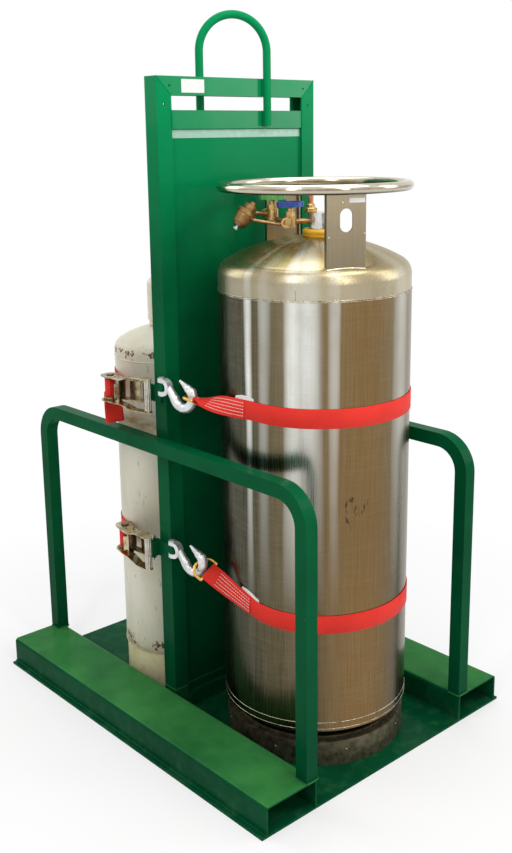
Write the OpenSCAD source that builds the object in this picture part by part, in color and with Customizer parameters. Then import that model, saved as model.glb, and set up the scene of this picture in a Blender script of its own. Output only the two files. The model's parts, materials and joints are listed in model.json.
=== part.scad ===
// Fork-pocket cylinder cart: base with two fork channels and guard rails, a fire wall with a lifting
// loop, a stainless liquid cylinder in front of it, a steel gas cylinder behind it, and two ratchet
// straps that bind both cylinders to the wall. Millimetres, +Z up, +Y along the fork channels from
// front to back, origin on the ground at the centre of the base plate.

/* [Cart base] */
// Width of the base plate across the fork channels
base_w = 946; // [900:2:1040]
// Length of the base plate along the fork channels
base_d = 1186; // [1140:2:1300]
// Thickness of the base plate
base_t = 6.35; // [5:0.05:10]
// Outer width of a fork channel
channel_w = 172; // [160:1:180]
// Height of a fork channel above the base plate
channel_h = 76.5; // [70:0.5:90]
// Wall of a fork channel
channel_t = 6.35; // [5:0.05:8]
// Outer bend radius of a fork channel
channel_bend = 11; // [9:0.5:14]
// Strip of base plate outside a fork channel
plate_edge = 14; // [8:1:20]

/* [Guard rails] */
// Side of the square rail tube
rail_w = 38.1; // [32:0.1:44]
// Wall of the rail tube
rail_t = 3; // [2:0.1:5]
// Height of the rail's top face above the ground
rail_top = 840; // [780:5:860]
// Outer radius of a rail bend
rail_bend = 100; // [80:1:120]

/* [Fire wall] */
// Width of the fire wall, between the fork channels
wall_w = 564; // [540:2:566]
// Depth of the wall's frame channel across its web
wall_d = 50; // [44:1:56]
// Distance from the cart's centre to the wall's front face
wall_front = 15; // [10:1:20]
// Height of the wall's top edge above the ground
wall_top = 1796; // [1760:2:1840]
// Width of a frame channel's flange
flange_w = 47.5; // [42:0.5:52]
// Thickness of the frame channel
frame_t = 5; // [4:0.5:6]
// Clear slot between the top channel's flange and the crossbar
top_slot = 37.5; // [30:0.5:44]
// Thickness of the wall's sheets
sheet_t = 3; // [2:0.5:4]
// Distance that a sheet lies back from its flange's outer face
sheet_recess = 9; // [6:0.5:12]
// Radius of the small holes in the front flanges
flange_hole_r = 3; // [2:0.25:4]

/* [Lifting loop] */
// Diameter of the loop's round bar
loop_bar = 22; // [18:1:26]
// Distance between the loop's legs, centre to centre
loop_span = 180; // [150:2:220]
// Height of the loop's crown above the ground
loop_top = 1973; // [1960:1:2000]
// Depth that the legs reach down from the wall's top edge
loop_reach = 127; // [110:1:130]

/* [Liquid cylinder] */
// Outer radius of the insulated shell
dewar_r = 254; // [240:1:256]
// Offset of the cylinder to the right of the cart's centre
dewar_x = 5; // [-10:1:12]
// Distance of its axis in front of the cart's centre
dewar_front = 294; // [290:1:305]
// Wall of the outer shell
shell_t = 3; // [2.5:0.1:4]
// Height of the shell's lower edge above the ground
shell_low = 112; // [105:1:120]
// Height of the seam between shell and top head
shell_seam = 1256; // [1200:2:1270]
// Crown radius of its heads
dewar_crown = 480; // [420:5:520]
// Knuckle radius of its heads
dewar_knuckle = 45; // [40:1:50]
// Radius of the inner vessel
vessel_r = 226; // [210:1:232]
// Wall of the inner vessel
vessel_t = 4; // [3:0.25:5]
// Outer radius of the foot ring
foot_r = 248; // [235:1:250]
// Height of the foot ring
foot_h = 70; // [60:1:80]
// Diameter of the guard ring's tube
ring_tube = 25; // [20:0.5:27]
// Height of the guard ring's centre above the ground
ring_z = 1518; // [1505:1:1540]
// Width of a guard ring support
support_w = 100; // [90:1:110]
// Direction of the front support round the cylinder, in degrees
support_turn = 244; // [238:1:252]

/* [Gas cylinder] */
// Outer radius of the gas cylinder
gas_r = 152; // [145:0.5:156]
// Offset of the gas cylinder to the left of the cart's centre
gas_left = 116; // [105:1:125]
// Distance of its axis behind the cart's centre
gas_back = 196; // [194:1:215]
// Wall of the gas cylinder
gas_t = 4; // [3:0.25:6]
// Height of its foot band above the ground
gas_foot_h = 110; // [100:1:120]
// Height of its upper seam above the ground
gas_seam = 1025; // [990:5:1050]
// Height of the valve cap
cap_h = 124; // [118:1:140]
// Outer radius of the valve cap
cap_r = 52; // [48:0.5:58]

/* [Straps] */
// Width of the webbing
web_w = 50; // [45:1:52]
// Thickness of the webbing
web_t = 2.5; // [2:0.1:3]
// Height of the upper strap where it leaves its hook
upper_z = 988; // [940:2:1000]
// Height of the lower strap where it leaves its hook
lower_z = 529; // [480:2:560]

/* [Ratchets] */
// Distance from a ratchet's anchor bolt to its spool
frame_len = 120; // [112:1:130]
// Distance from the spool to the handle's grip
handle_len = 155; // [145:1:170]
// Number of teeth on a ratchet wheel
teeth = 12; // [12:1:12]
// Outer radius of a ratchet wheel
wheel_r = 22; // [20:0.5:24]
// Diameter of a spool
spool_d = 16; // [14:0.5:18]

/* [Hidden] */
$fn = 96;

eps = 0.01;             // overlap that lets one cut pass through another's face
clear = 0.3;            // gap between pieces that move apart
run = 0.05;             // radial clearance of a shaft in its bore
paint = "#0a7a3a";
steel = "#b9b4a6";
zinc = "#c9a64a";

// plan places
channel_x = base_w/2 - plate_edge - channel_w/2;
channel_top = base_t + channel_h;
rail_x = channel_x - channel_w/2 + rail_w/2 - 2;
wall_y0 = -wall_front;
wall_y1 = wall_d - wall_front;
wall_mid_y = (wall_y0 + wall_y1)/2;
dewar_c = [dewar_x, -dewar_front];
gas_c = [-gas_left, gas_back];

function unit(a) = [cos(a), sin(a)];
function flat(p) = [p[0], p[1]];
function near(v) = round(v*10)/10;

// ---------------------------------------------------------------- cart base
module base_plate() {
  color(paint) translate([-base_w/2, -base_d/2, 0]) cube([base_w, base_d, base_t]);
}

// inverted U, rounded at its two top edges, open at both ends
module channel_outline(w, h, r) {
  translate([-w/2, 0]) square([w, h - r]);
  translate([-w/2 + r, 0]) square([w - 2*r, h]);
  for (s = [-1, 1]) translate([s*(w/2 - r), h - r]) circle(r);
}

module fork_channel(side) {
  color(paint) translate([side*channel_x, base_d/2, base_t]) rotate([90, 0, 0])
    linear_extrude(base_d) difference() {
      channel_outline(channel_w, channel_h, channel_bend);
      translate([0, -eps]) channel_outline(channel_w - 2*channel_t,
        channel_h - channel_t + eps, channel_bend - channel_t);
    }
}

module fork_channel_left() { fork_channel(-1); }
module fork_channel_right() { fork_channel(1); }

// square tube: two posts, two bends and a straight top
module rail_section(grow) {
  square(rail_w - 2*grow, center = true);
}

module rail_path(grow) {
  mean = rail_bend - rail_w/2;
  post_y = base_d/2 - rail_w/2;
  corner_z = rail_top - rail_bend;
  for (s = [-1, 1]) {
    translate([0, s*post_y, channel_top]) linear_extrude(corner_z - channel_top)
      rail_section(grow);
    translate([0, s*(post_y - mean), corner_z]) rotate([90, 0, s*90])
      rotate_extrude(angle = 90) translate([mean, 0]) rail_section(grow);
  }
  translate([0, post_y - mean, rail_top - rail_w/2]) rotate([90, 0, 0])
    linear_extrude(2*(post_y - mean)) rail_section(grow);
}

module guard_rail(side) {
  color(paint) translate([side*rail_x, 0, 0]) difference() {
    rail_path(0);
    rail_path(rail_t);
  }
}

module guard_rail_left() { guard_rail(-1); }
module guard_rail_right() { guard_rail(1); }

// ---------------------------------------------------------------- fire wall
// frame channel along Z, web on the outside at x = 0, flanges reaching in to +x
module frame_channel(length) {
  linear_extrude(length) difference() {
    translate([0, wall_y0]) square([flange_w, wall_d]);
    translate([frame_t, wall_y0 + frame_t]) square([flange_w, wall_d - 2*frame_t]);
  }
}

post_h = wall_top - base_t;

// mitre wedge at the foot of a post, cut away below a 45 degree line
module mitre_wedge() {
  rotate([90, 0, 0]) translate([0, 0, -wall_y1 - eps]) linear_extrude(wall_d + 2*eps)
    polygon([[0, 0], [0, -eps], [flange_w + eps, -eps], [flange_w + eps, flange_w + eps]]);
}

module post() {
  translate([-wall_w/2, 0, base_t]) difference() {
    frame_channel(post_h);
    mitre_wedge();
    translate([0, 0, post_h]) mirror([0, 0, 1]) mitre_wedge();
    translate([side_hole_x, wall_y0 - eps, post_h - side_hole_drop]) rotate([-90, 0, 0])
      cylinder(r = flange_hole_r, h = frame_t + 2*eps);
  }
}

side_hole_x = flange_w/2;
side_hole_drop = 70;
top_hole_inset = 42;

module wall_post_left() { color(paint) post(); }
module wall_post_right() { color(paint) mirror([1, 0, 0]) post(); }

// top channel lies along X with its web up; the bottom one is its mirror image
module cross_channel(holes) {
  difference() {
    translate([-wall_w/2, 0, 0]) rotate([0, 90, 0]) frame_channel(wall_w);
    for (s = [-1, 1]) translate([s*wall_w/2, 0, 0])
      rotate([90, 0, 0]) translate([0, 0, -wall_y1 - eps]) linear_extrude(wall_d + 2*eps)
        polygon([[0, 0], [s*eps, 0], [s*eps, -flange_w - eps], [-s*(flange_w + eps), -flange_w - eps]]);
    if (holes) for (s = [-1, 1])
      translate([s*(wall_w/2 - top_hole_inset), wall_y0 - eps, -flange_w/2])
        rotate([-90, 0, 0]) cylinder(r = flange_hole_r, h = frame_t + 2*eps);
  }
}

module wall_top_channel() { color(paint) translate([0, 0, wall_top]) cross_channel(true); }
module wall_bottom_channel() {
  color(paint) translate([0, 0, base_t]) mirror([0, 0, 1]) cross_channel(false);
}

inner_x = wall_w/2 - flange_w;
crossbar_top = wall_top - flange_w - top_slot;
crossbar_h = flange_w;
sheet_top = crossbar_top - crossbar_h + 4;
sheet_low = base_t + frame_t;

// flat bars in the plane of the flanges, front and rear
module wall_crossbars() {
  color(paint) for (y = [wall_y0, wall_y1 - frame_t])
    translate([-inner_x, y, crossbar_top - crossbar_h]) cube([2*inner_x, frame_t, crossbar_h]);
}

// sheet with its top edge turned over towards the other sheet
module wall_sheet(y, turn) {
  x = wall_w/2 - frame_t;
  lip = (wall_d - 2*sheet_recess)/2 - clear;
  color(paint) {
    translate([-x, y, sheet_low]) cube([2*x, sheet_t, sheet_top - sheet_low]);
    translate([-x, turn > 0 ? y : y + sheet_t - lip, sheet_top - sheet_t]) cube([2*x, lip, sheet_t]);
  }
}

module wall_sheet_front() { wall_sheet(wall_y0 + sheet_recess, 1); }
module wall_sheet_rear() { wall_sheet(wall_y1 - sheet_recess - sheet_t, -1); }

module wall_insulation() {
  x = wall_w/2 - frame_t;
  y = wall_y0 + sheet_recess + sheet_t;
  color("#d8cfae") translate([-x, y, sheet_low])
    cube([2*x, wall_y1 - sheet_recess - sheet_t - y, sheet_top - sheet_t - sheet_low]);
}

// one leg on the rear face, one on the front face, joined by a skewed half circle
module lifting_loop() {
  bar_r = loop_bar/2;
  depth = wall_d + loop_bar;
  span = near(norm([loop_span, depth]));
  crown = near(loop_top - bar_r - span/2);
  foot = wall_top - loop_reach;
  color(paint) translate([0, wall_mid_y, 0]) rotate(-atan2(depth, loop_span)) {
    for (s = [-1, 1]) translate([s*span/2, 0, foot]) cylinder(r = bar_r, h = crown - foot);
    translate([0, 0, crown]) rotate([90, 0, 0])
      rotate_extrude(angle = 180) translate([span/2, 0]) circle(bar_r);
  }
}

// ---------------------------------------------------------------- strap hardware
lug_h = 46;             // height of a lug on the wall
lug_t = 8;              // thickness of its plate
eye_h = 24;             // height of the barrel that carries the hook
barrel_r = 9;           // outer radius of both barrels
pin_r = 5;              // radius of a hook pin
bolt_r = 5;             // radius of an anchor bolt
ear_r = 11;             // radius of a hook's clevis ear round its pin
lug_face = -wall_w/2;
barrel_x = lug_face - ear_r - 0.7;

// [hook pin y, anchor x, anchor y, height, ratchet height, ratchet turn]
upper = [-12, lug_face - 12, wall_y1 + 25, upper_z, upper_z - 26, 109];
lower = [-36, lug_face - 20, wall_y1 + 15, lower_z, lower_z - 17, 93];
rows = [upper, lower];

function pin_at(row) = [barrel_x, row[0], row[3]];
function anchor_at(row) = [row[1], row[2], row[4]];
function spool_at(row) = anchor_at(row) + frame_len*[cos(row[5]), sin(row[5]), 0];

// plate on the wall's side, rolled to an eye for the hook pin and to a barrel for the anchor bolt
module strap_lug(row) {
  pin = pin_at(row);
  anchor = anchor_at(row);
  low = anchor[2] - lug_h/2;
  plate_y = pin[1] + ear_r + 1.5;
  difference() {
    union() {
      translate([lug_face - lug_t, plate_y, low]) cube([lug_t, anchor[1] - barrel_r - plate_y, lug_h]);
      translate([lug_face - lug_t, pin[1], pin[2] - eye_h/2]) cube([lug_t, plate_y - pin[1] + eye_h/2, eye_h]);
      translate([pin[0], pin[1], pin[2] - eye_h/2]) cylinder(r = barrel_r, h = eye_h);
      translate([anchor[0], anchor[1], low]) cylinder(r = barrel_r, h = lug_h);
      translate([anchor[0] - barrel_r, anchor[1] - 2*barrel_r, low])
        cube([lug_face - anchor[0] + barrel_r, 2*barrel_r - 4, lug_h]);
    }
    translate([pin[0], pin[1], pin[2] - eye_h]) cylinder(r = pin_r + run, h = 2*eye_h);
    translate([anchor[0], anchor[1], low - 1]) cylinder(r = bolt_r + run, h = lug_h + 2);
  }
}

module strap_lugs() { color(paint) for (row = rows) strap_lug(row); }

// ---- hooks: clevis fork at the origin, load line along +x, bowl hanging below it
hook_bar = 13;          // radius of the bowl's bar
bowl_r = 33.5;          // mean radius of the bowl
bowl_x = 80;            // bowl centre from the pin
bowl_z = -14;
fork_in = eye_h/2 + clear;
fork_out = fork_in + 11;
fork_w = 20;

module hook_pin() {
  translate([0, 0, -fork_out - 3]) cylinder(r = pin_r, h = 2*fork_out + 6);
  for (z = [-fork_out - 3, fork_out + clear]) translate([0, 0, z]) cylinder(r = pin_r + 3, h = 3 - clear);
}

module hook() {
  difference() {
    union() {
      intersection() {
        rotate([90, 0, 0]) translate([0, 0, -fork_w/2]) linear_extrude(fork_w) {
          translate([10, 0]) circle(fork_out);
          translate([-10, -fork_out]) square([20, 2*fork_out]);
        }
        union() {
          cylinder(r = ear_r, h = 3*fork_out, center = true);
          translate([0, -fork_w/2, -2*fork_out]) cube([60, fork_w, 4*fork_out]);
        }
      }
      hook_body();
    }
    rotate([90, 0, 0]) translate([0, 0, -fork_w]) linear_extrude(2*fork_w) {
      translate([barrel_r + clear, 0]) circle(fork_in);
      translate([-30, -fork_in]) square([30 + barrel_r + clear, 2*fork_in]);
    }
    cylinder(r = pin_r + run, h = 4*fork_out, center = true);
  }
}

bowl_start = 205;       // bowl runs from the shank, down and round to the tip
bowl_sweep = 180;
swell = 0.4;            // forged swell where two tapers of the hook meet
shank = [[12, 0, 6, 12], [30, 0, -4, 10.5]];    // [x, y, z, radius] from the fork to the bowl
nose = [[98, 0, 8, 10.5], [71, 0, 25, 3.5]];    // and from the bowl to the point

function knot_at(k) = [k[0], k[1], k[2]];
module taper(a, b) {
  along(knot_at(a), knot_at(b)) cylinder(r1 = a[3], r2 = b[3], h = norm(knot_at(b) - knot_at(a)));
}

module hook_body() {
  centre = [bowl_x, 0, bowl_z];
  tip_turn = bowl_start + bowl_sweep;
  start = concat(centre + bowl_r*[cos(bowl_start), 0, sin(bowl_start)], hook_bar - swell);
  tip = concat(centre + bowl_r*[cos(tip_turn), 0, sin(tip_turn)], hook_bar - swell);
  taper(shank[0], shank[1]);
  taper(shank[1], start);
  translate(centre) rotate([90, 0, 0]) rotate(bowl_start)
    rotate_extrude(angle = bowl_sweep) translate([bowl_r, 0]) circle(hook_bar);
  taper(tip, nose[0]);
  taper(nose[0], nose[1]);
  for (k = [shank[1], nose[0], nose[1]]) translate(knot_at(k)) sphere(k[3] + swell);
  for (k = [start, tip]) translate(knot_at(k)) sphere(hook_bar + swell);
}

// stands children that run along +z on the line from a to b
module along(a, b) {
  d = b - a;
  translate(a) rotate([0, acos(d[2]/norm(d)), atan2(d[1], d[0])]) children();
}

ring_wire = 4;          // radius of a strap ring's wire
ring_r = web_w/2 + 2 + ring_wire;
ring_leg = 14;
ring_play = 3.5;        // slack of a ring in its bowl
ring_seat = bowl_r - hook_bar - ring_wire - ring_play;
ring_far = ring_seat + ring_r + ring_leg;

// strap ring: round end through the bowl, straight bar in the webbing's eye
module ring() {
  rotate([0, 0, 90]) rotate_extrude(angle = 180) translate([ring_r, 0]) circle(ring_wire);
  for (s = [-1, 1]) {
    translate([0, s*ring_r, 0]) rotate([0, 90, 0]) cylinder(r = ring_wire, h = ring_leg);
    translate([ring_leg, s*ring_r, 0]) sphere(ring_wire);
  }
  translate([ring_leg, -ring_r, 0]) rotate([-90, 0, 0]) cylinder(r = ring_wire, h = 2*ring_r);
}

// ---- strap route: a belt over round seats, each [centre, radius, height in, height out]; a positive
// radius keeps its seat on the left of the route and a negative one on the right
web_off = web_t/2 + clear;
roll_r = 17;            // radius of the webbing wound on a spool

function route(row, heights) =
  let (pin = pin_at(row), spool = spool_at(row))
  [[flat(pin), 0, pin[2], heights[0]],
   [dewar_c, dewar_r + web_off, heights[1], heights[2]],
   [[wall_w/2, wall_y0], web_off, heights[3], heights[3]],
   [[wall_w/2, wall_y1], web_off, heights[4], heights[4]],
   [gas_c, gas_r + web_off, heights[5], spool[2]],
   [flat(spool), -(roll_r + web_off), spool[2], spool[2]]];

function heading(a, b) =
  let (d = b[0] - a[0]) atan2(d[1], d[0]) - asin((b[1] - a[1])/norm(d));
function touch(seat, turn) = seat[0] + seat[1]*unit(turn - 90);

upper_route = route(upper, [upper_z - 16, upper_z - 17, upper_z - 25, upper_z - 25, upper_z - 25,
  upper_z - 26]);
lower_route = route(lower, [lower_z - 38, lower_z - 100, lower_z - 122, lower_z - 78,
  lower_z - 68, lower_z - 38]);

// the four corners of the webbing's section at a point: its outer side faces direction a, and it
// is turned about its run by a twist and leans forward; side stretches its thickness at a corner
function web_corners(p, a, side, twist, lean) =
  let (out = [cos(a), sin(a), 0], up = [-sin(lean)*sin(a), sin(lean)*cos(a), cos(lean)],
    thick = cos(twist)*out + sin(twist)*up, wide = cos(twist)*up - sin(twist)*out)
  [for (c = [[1, 1], [1, -1], [-1, -1], [-1, 1]])
    p + c[0]*side*web_t/2*thick + c[1]*web_w/2*wide];

// stations round one seat, on a polygon whose flats touch the seat
web_step = 5;           // largest turn between two stations, in degrees
settle = 9;             // how soon the webbing reaches a seat's far height
function settled(f) = (1 - exp(-settle*f))/(1 - exp(-settle));
function web_arc(seat, a0, a1) =
  let (n = max(1, ceil(abs(a1 - a0)/(seat[1] < 20 ? 3*web_step : web_step))), step = (a1 - a0)/n,
    side = 1/cos(step/2))
  [for (i = [0:n - 1]) let (f = (i + 0.5)/n, a = a0 + (a1 - a0)*f, c = seat[0] + seat[1]*side*unit(a))
    web_corners([c[0], c[1], seat[2] + (seat[3] - seat[2])*settled(f)], a, side, 0, 0)];

twist_steps = 12;       // stations on the run that leaves the ring, while its twist dies away
module strap(seats, start, twist, dip) {
  last = len(seats) - 1;
  turns = [for (i = [0:last - 1]) heading(seats[i], seats[i + 1])];
  arcs = [for (i = [1:last - 1])
    let (back = turns[i] < turns[i - 1] ? 360 : 0)
    each web_arc(seats[i], turns[i - 1] - 90, turns[i] - 90 + back)];
  first = touch(seats[1], turns[0]);
  run_in = [for (i = [0:twist_steps - 1]) let (f = i/twist_steps)
    web_corners(start + f*([first[0], first[1], seats[1][2]] - start), turns[0] - 90, 1,
      twist*pow(1 - f, 2), dip*(1 - f))];
  end = touch(seats[last], turns[last - 1]);
  web_band(concat(run_in, arcs,
    [web_corners([end[0], end[1], seats[last][2]], turns[last - 1] - 90, 1, 0, 0)]));
}

// closed band through a list of four-cornered sections
module web_band(sections) {
  n = len(sections);
  polyhedron([for (c = sections) each c], concat([[0, 1, 2, 3]],
    [for (i = [0:n - 2], k = [0:3]) let (j = 4*i, m = (k + 1)%4) each [
      [j + k, j + k + 4, j + m], [j + m, j + k + 4, j + m + 4]]],
    [[4*n - 1, 4*n - 2, 4*n - 3, 4*n - 4]]));
}

upper_turn = heading(upper_route[0], upper_route[1]);
lower_turn = heading(lower_route[0], lower_route[1]);
upper_dip = 4;          // slope of the load line below level, in degrees
lower_dip = 19;
upper_twist = -12;      // turn of a ring about its load line
lower_twist = 32;

// point on the load line, measured from the bowl's centre
function load_point(row, turn, dip, reach) =
  let (u = bowl_x + reach*cos(dip), w = bowl_z - reach*sin(dip))
  pin_at(row) + [u*cos(turn), u*sin(turn), w];

module at_bowl(row, turn, dip, twist) {
  translate(load_point(row, turn, dip, ring_seat + ring_r)) rotate([0, 0, turn]) rotate([0, dip, 0])
    rotate([twist, 0, 0]) children();
}

module at_pin(row, turn) { translate(pin_at(row)) rotate([0, 0, turn]) children(); }

module hook_pins() {
  color("#8d9092") {
    at_pin(upper, upper_turn) hook_pin();
    at_pin(lower, lower_turn) hook_pin();
  }
}
module hook_upper() { color("#a9adaf") at_pin(upper, upper_turn) hook(); }
module hook_lower() { color("#a9adaf") at_pin(lower, lower_turn) hook(); }

module strap_rings() {
  color(zinc) {
    at_bowl(upper, upper_turn, upper_dip, upper_twist) ring();
    at_bowl(lower, lower_turn, lower_dip, lower_twist) ring();
  }
}

web_start = ring_far + ring_wire + clear;

// free end of the upper webbing: out behind the spool, then hanging to just above the rail
tail_gap = 36;          // distance of the hanging end behind the spool
tail_lean = 8;          // degrees that it leans back in under the ratchet
tail_side = -38;        // its outer edge, measured across the ratchet
module web_tail(row) {
  s = spool_at(row);
  low = rail_top + 2;
  top = s[2] - web_w/2 + 12;
  translate([s[0], s[1], 0]) rotate(row[5] - 12) {
    translate([tail_gap, tail_side, top]) rotate([0, 180 + tail_lean, 0])
      translate([-web_t, 0, 0]) cube([web_t, web_w, (top - low)/cos(tail_lean)]);
    translate([roll_r + clear, -6, s[2] - web_w/2]) cube([tail_gap - roll_r - clear + 1, web_t, web_w]);
  }
}

module strap_upper() {
  color("#e8402c") {
    strap(upper_route, load_point(upper, upper_turn, upper_dip, web_start), 90 - upper_twist,
      upper_dip);
    web_tail(upper);
  }
}
module strap_lower() {
  color("#e8402c") strap(lower_route, load_point(lower, lower_turn, lower_dip, web_start),
    90 - lower_twist, lower_dip);
}

// ---------------------------------------------------------------- ratchet buckle
// local frame: spool on the z axis, anchor bolt at +x, handle on the +y side
plate_t = 2.5;
frame_gap = web_w/2 + 2;          // inner face of a frame plate
wheel_z = frame_gap + plate_t + 0.5;
wheel_t = 3;
cheek_z = wheel_z + wheel_t + 0.5; // inner face of a handle plate at the spool
cheek_out = 47;         // outer face of a handle plate at the grip
cheek_r = 27;
grip_off = 37;
grip_at = [sqrt(handle_len*handle_len - grip_off*grip_off), grip_off];
grip_r = 8.5;
tooth = 4;              // depth of a ratchet tooth
pawl_t = 3;

module at_ratchet(row) { translate(spool_at(row)) rotate(row[5] + 180) children(); }

// ratchets on the cart's left stand with their handles away from the cylinders
module ratchet(row) { at_ratchet(row) mirror([0, 1, 0]) children(); }

cam_r = 17;             // frame rim round the spool, inside the teeth's roots
frame_rise = 7;         // frame edge on the handle's side of the centre line
frame_drop = 16;        // and on the other side
module frame_outline() {
  difference() {
    union() {
      circle(cam_r);
      translate([0, -frame_drop]) square([frame_len, frame_drop + frame_rise]);
      translate([frame_len, 0]) circle(14);
    }
    circle(spool_d/2 + run);
    translate([frame_len, 0]) circle(bolt_r + run);
    pawl_slot();
  }
}

// strip with round ends, its sides tangent to both
module hull_strip(a, ra, b, rb) {
  d = b - a;
  l = norm(d);
  t = atan2(d[1], d[0]);
  k = acos((ra - rb)/l);
  translate(a) circle(ra);
  translate(b) circle(rb);
  polygon([a + ra*unit(t + k), b + rb*unit(t + k), b + rb*unit(t - k), a + ra*unit(t - k)]);
}

pawl_x = wheel_r - tooth + clear;   // tip of an engaged pawl
module pawl_slot() {
  translate([pawl_x - clear, -pawl_t/2 - clear]) square([24, pawl_t + 2*clear]);
}

module ratchet_frame() {
  for (s = [-1, 1]) translate([0, 0, s*(frame_gap + plate_t/2)])
    linear_extrude(plate_t, center = true) frame_outline();
  translate([56, -frame_drop, -frame_gap - eps]) cube([36, plate_t, 2*frame_gap + 2*eps]);
}

module ratchet_frame_upper() { color(zinc) ratchet(upper) ratchet_frame(); }
module ratchet_frame_lower() { color(zinc) ratchet(lower) ratchet_frame(); }

module anchor_bolt() {
  h = frame_gap + plate_t + clear;
  translate([frame_len, 0, -h - 8]) {
    cylinder(r = bolt_r, h = 2*h + 14);
    cylinder(r = 8.5, h = 8, $fn = 6);
    translate([0, 0, 2*h + 8]) cylinder(r = 8.5, h = 6, $fn = 6);
  }
}
module anchor_bolts() { color("#9a9c9b") for (row = rows) ratchet(row) anchor_bolt(); }

// saw-tooth wheel with straight flanks; a gap between two teeth lies on the x axis
pitch = 360/teeth;
module wheel_outline() {
  root = wheel_r - tooth;
  polygon([for (i = [0:teeth - 1]) each [
    root*unit(i*pitch - 6), root*unit(i*pitch + 6), wheel_r*unit(i*pitch + 10),
    wheel_r*unit(i*pitch + 15), (wheel_r - 1)*unit(i*pitch + 20)]]);
}

// two half shafts with the webbing's slot between them, and both wheels
slot_w = 4;
module spool() {
  half = cheek_z + plate_t + 3;
  difference() {
    union() {
      cylinder(r = spool_d/2, h = 2*half, center = true);
      for (s = [-1, 1]) {
        translate([0, 0, s*(wheel_z + wheel_t/2)]) linear_extrude(wheel_t, center = true)
          wheel_outline();
        translate([0, 0, s*(half - 1)]) cylinder(r = spool_d/2 + 3, h = 2, center = true);
      }
    }
    cube([spool_d + 1, slot_w, 2*wheel_z], center = true);
  }
}
module spool_upper() { color("#8f8668") ratchet(upper) spool(); }
module spool_lower() { color("#8f8668") ratchet(lower) spool(); }

module web_roll() {
  difference() {
    cylinder(r = roll_r, h = web_w, center = true);
    cylinder(r = spool_d/2 + run, h = web_w + 1, center = true);
  }
}
module web_roll_upper() { color("#d93a28") ratchet(upper) web_roll(); }
module web_roll_lower() { color("#d93a28") ratchet(lower) web_roll(); }

// sliding plate whose ears reach out through the frame into the teeth of both wheels
module frame_pawl() {
  ear = wheel_z + wheel_t;
  translate([pawl_x, -pawl_t/2, -ear]) cube([11, pawl_t, 2*ear]);
  translate([pawl_x + 8, -pawl_t/2, -frame_gap + clear]) cube([24, pawl_t, 2*(frame_gap - clear)]);
}
module frame_pawl_upper() { color("#8f8668") ratchet(upper) frame_pawl(); }
module frame_pawl_lower() { color("#8f8668") ratchet(lower) frame_pawl(); }

// handle cheek: flat at the spool, flared out to the grip, with a dog-leg at the release plate
handle_turn = pitch;
knee = 50*unit(handle_turn);
knee_r = 15;
module cheek_outline() {
  difference() {
    union() {
      hull_strip([0, 0], cheek_r, knee, knee_r);
      hull_strip(knee, knee_r, grip_at, 12);
    }
    circle(spool_d/2 + run);
  }
}

module cheek_band() {
  flare = cheek_out - plate_t;
  polygon([[-40, cheek_z], [60, cheek_z], [100, flare], [190, flare], [190, flare + plate_t],
    [99, flare + plate_t], [59, cheek_z + plate_t], [-40, cheek_z + plate_t]]);
}

module ratchet_handle() {
  for (s = [0, 1]) mirror([0, 0, s]) difference() {
    intersection() {
      linear_extrude(cheek_out + 1) cheek_outline();
      rotate([90, 0, 0]) linear_extrude(160, center = true) cheek_band();
    }
    handle_slot(cheek_out + 1);
  }
  translate([grip_at[0], grip_at[1], 0]) cylinder(r = grip_r, h = 2*cheek_out, center = true);
}

module handle_slot(h) {
  rotate(handle_turn) translate([wheel_r - tooth, -pawl_t/2 - clear, 0])
    cube([20, pawl_t + 2*clear, h]);
}

module ratchet_handle_upper() { color(zinc) ratchet(upper) ratchet_handle(); }
module ratchet_handle_lower() { color(zinc) ratchet(lower) ratchet_handle(); }

// sliding release plate in the handle, with a finger tab; it stands clear of the teeth at rest
release_gap = 0.5;
module handle_pawl() {
  x0 = wheel_r + release_gap;
  rotate(handle_turn) {
    translate([x0, -pawl_t/2, -cheek_z - plate_t - 1]) cube([9, pawl_t, 2*(cheek_z + plate_t + 1)]);
    translate([x0 + 8, -pawl_t/2, clear - cheek_z]) cube([24, pawl_t, 2*(cheek_z - clear)]);
    translate([x0 + 30, -pawl_t/2, -20]) cube([3, 14, 40]);
  }
}
module handle_pawl_upper() { color(zinc) ratchet(upper) handle_pawl(); }
module handle_pawl_lower() { color(zinc) ratchet(lower) handle_pawl(); }

// ---------------------------------------------------------------- pressure heads
// half outline of a dished head, spring line at y = 0, skirt below it
module head_area(r, crown, knuckle, skirt) {
  sink = crown_sink(r, crown, knuckle);
  far = 2*crown/(crown - knuckle);
  intersection() {
    union() {
      intersection() {
        translate([0, -sink]) circle(crown, $fn = 180);
        polygon([[0, -sink], [0, crown], [far*(r - knuckle), far*sink - sink]]);
      }
      translate([r - knuckle, 0]) circle(knuckle);
      translate([0, -skirt]) square([r, skirt]);
      square([r - knuckle, knuckle]);
    }
    translate([0, -skirt]) square([r, skirt + crown]);
  }
}

function crown_sink(r, crown, knuckle) =
  sqrt((crown - knuckle)*(crown - knuckle) - (r - knuckle)*(r - knuckle));
function head_rise(r, crown, knuckle) = crown - crown_sink(r, crown, knuckle);

module head_shell(r, crown, knuckle, t, skirt) {
  difference() {
    head_area(r, crown, knuckle, skirt);
    translate([0, -eps]) head_area(r - t, crown - t, knuckle - t, skirt);
  }
}

// ---------------------------------------------------------------- liquid cylinder
spring_z = shell_seam + 37;
dewar_rise = head_rise(dewar_r - 1, dewar_crown, dewar_knuckle);
dome_z = spring_z + dewar_rise;
module at_dewar() { translate([dewar_c[0], dewar_c[1], 0]) children(); }

// height of the top dome at a distance from the axis
function dome_at(r) = dome_z - dewar_crown + sqrt(dewar_crown*dewar_crown - r*r);

module dewar_shell() {
  color(steel) at_dewar() rotate_extrude() translate([dewar_r - shell_t, shell_low])
    square([shell_t, shell_seam - shell_low]);
}

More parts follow.
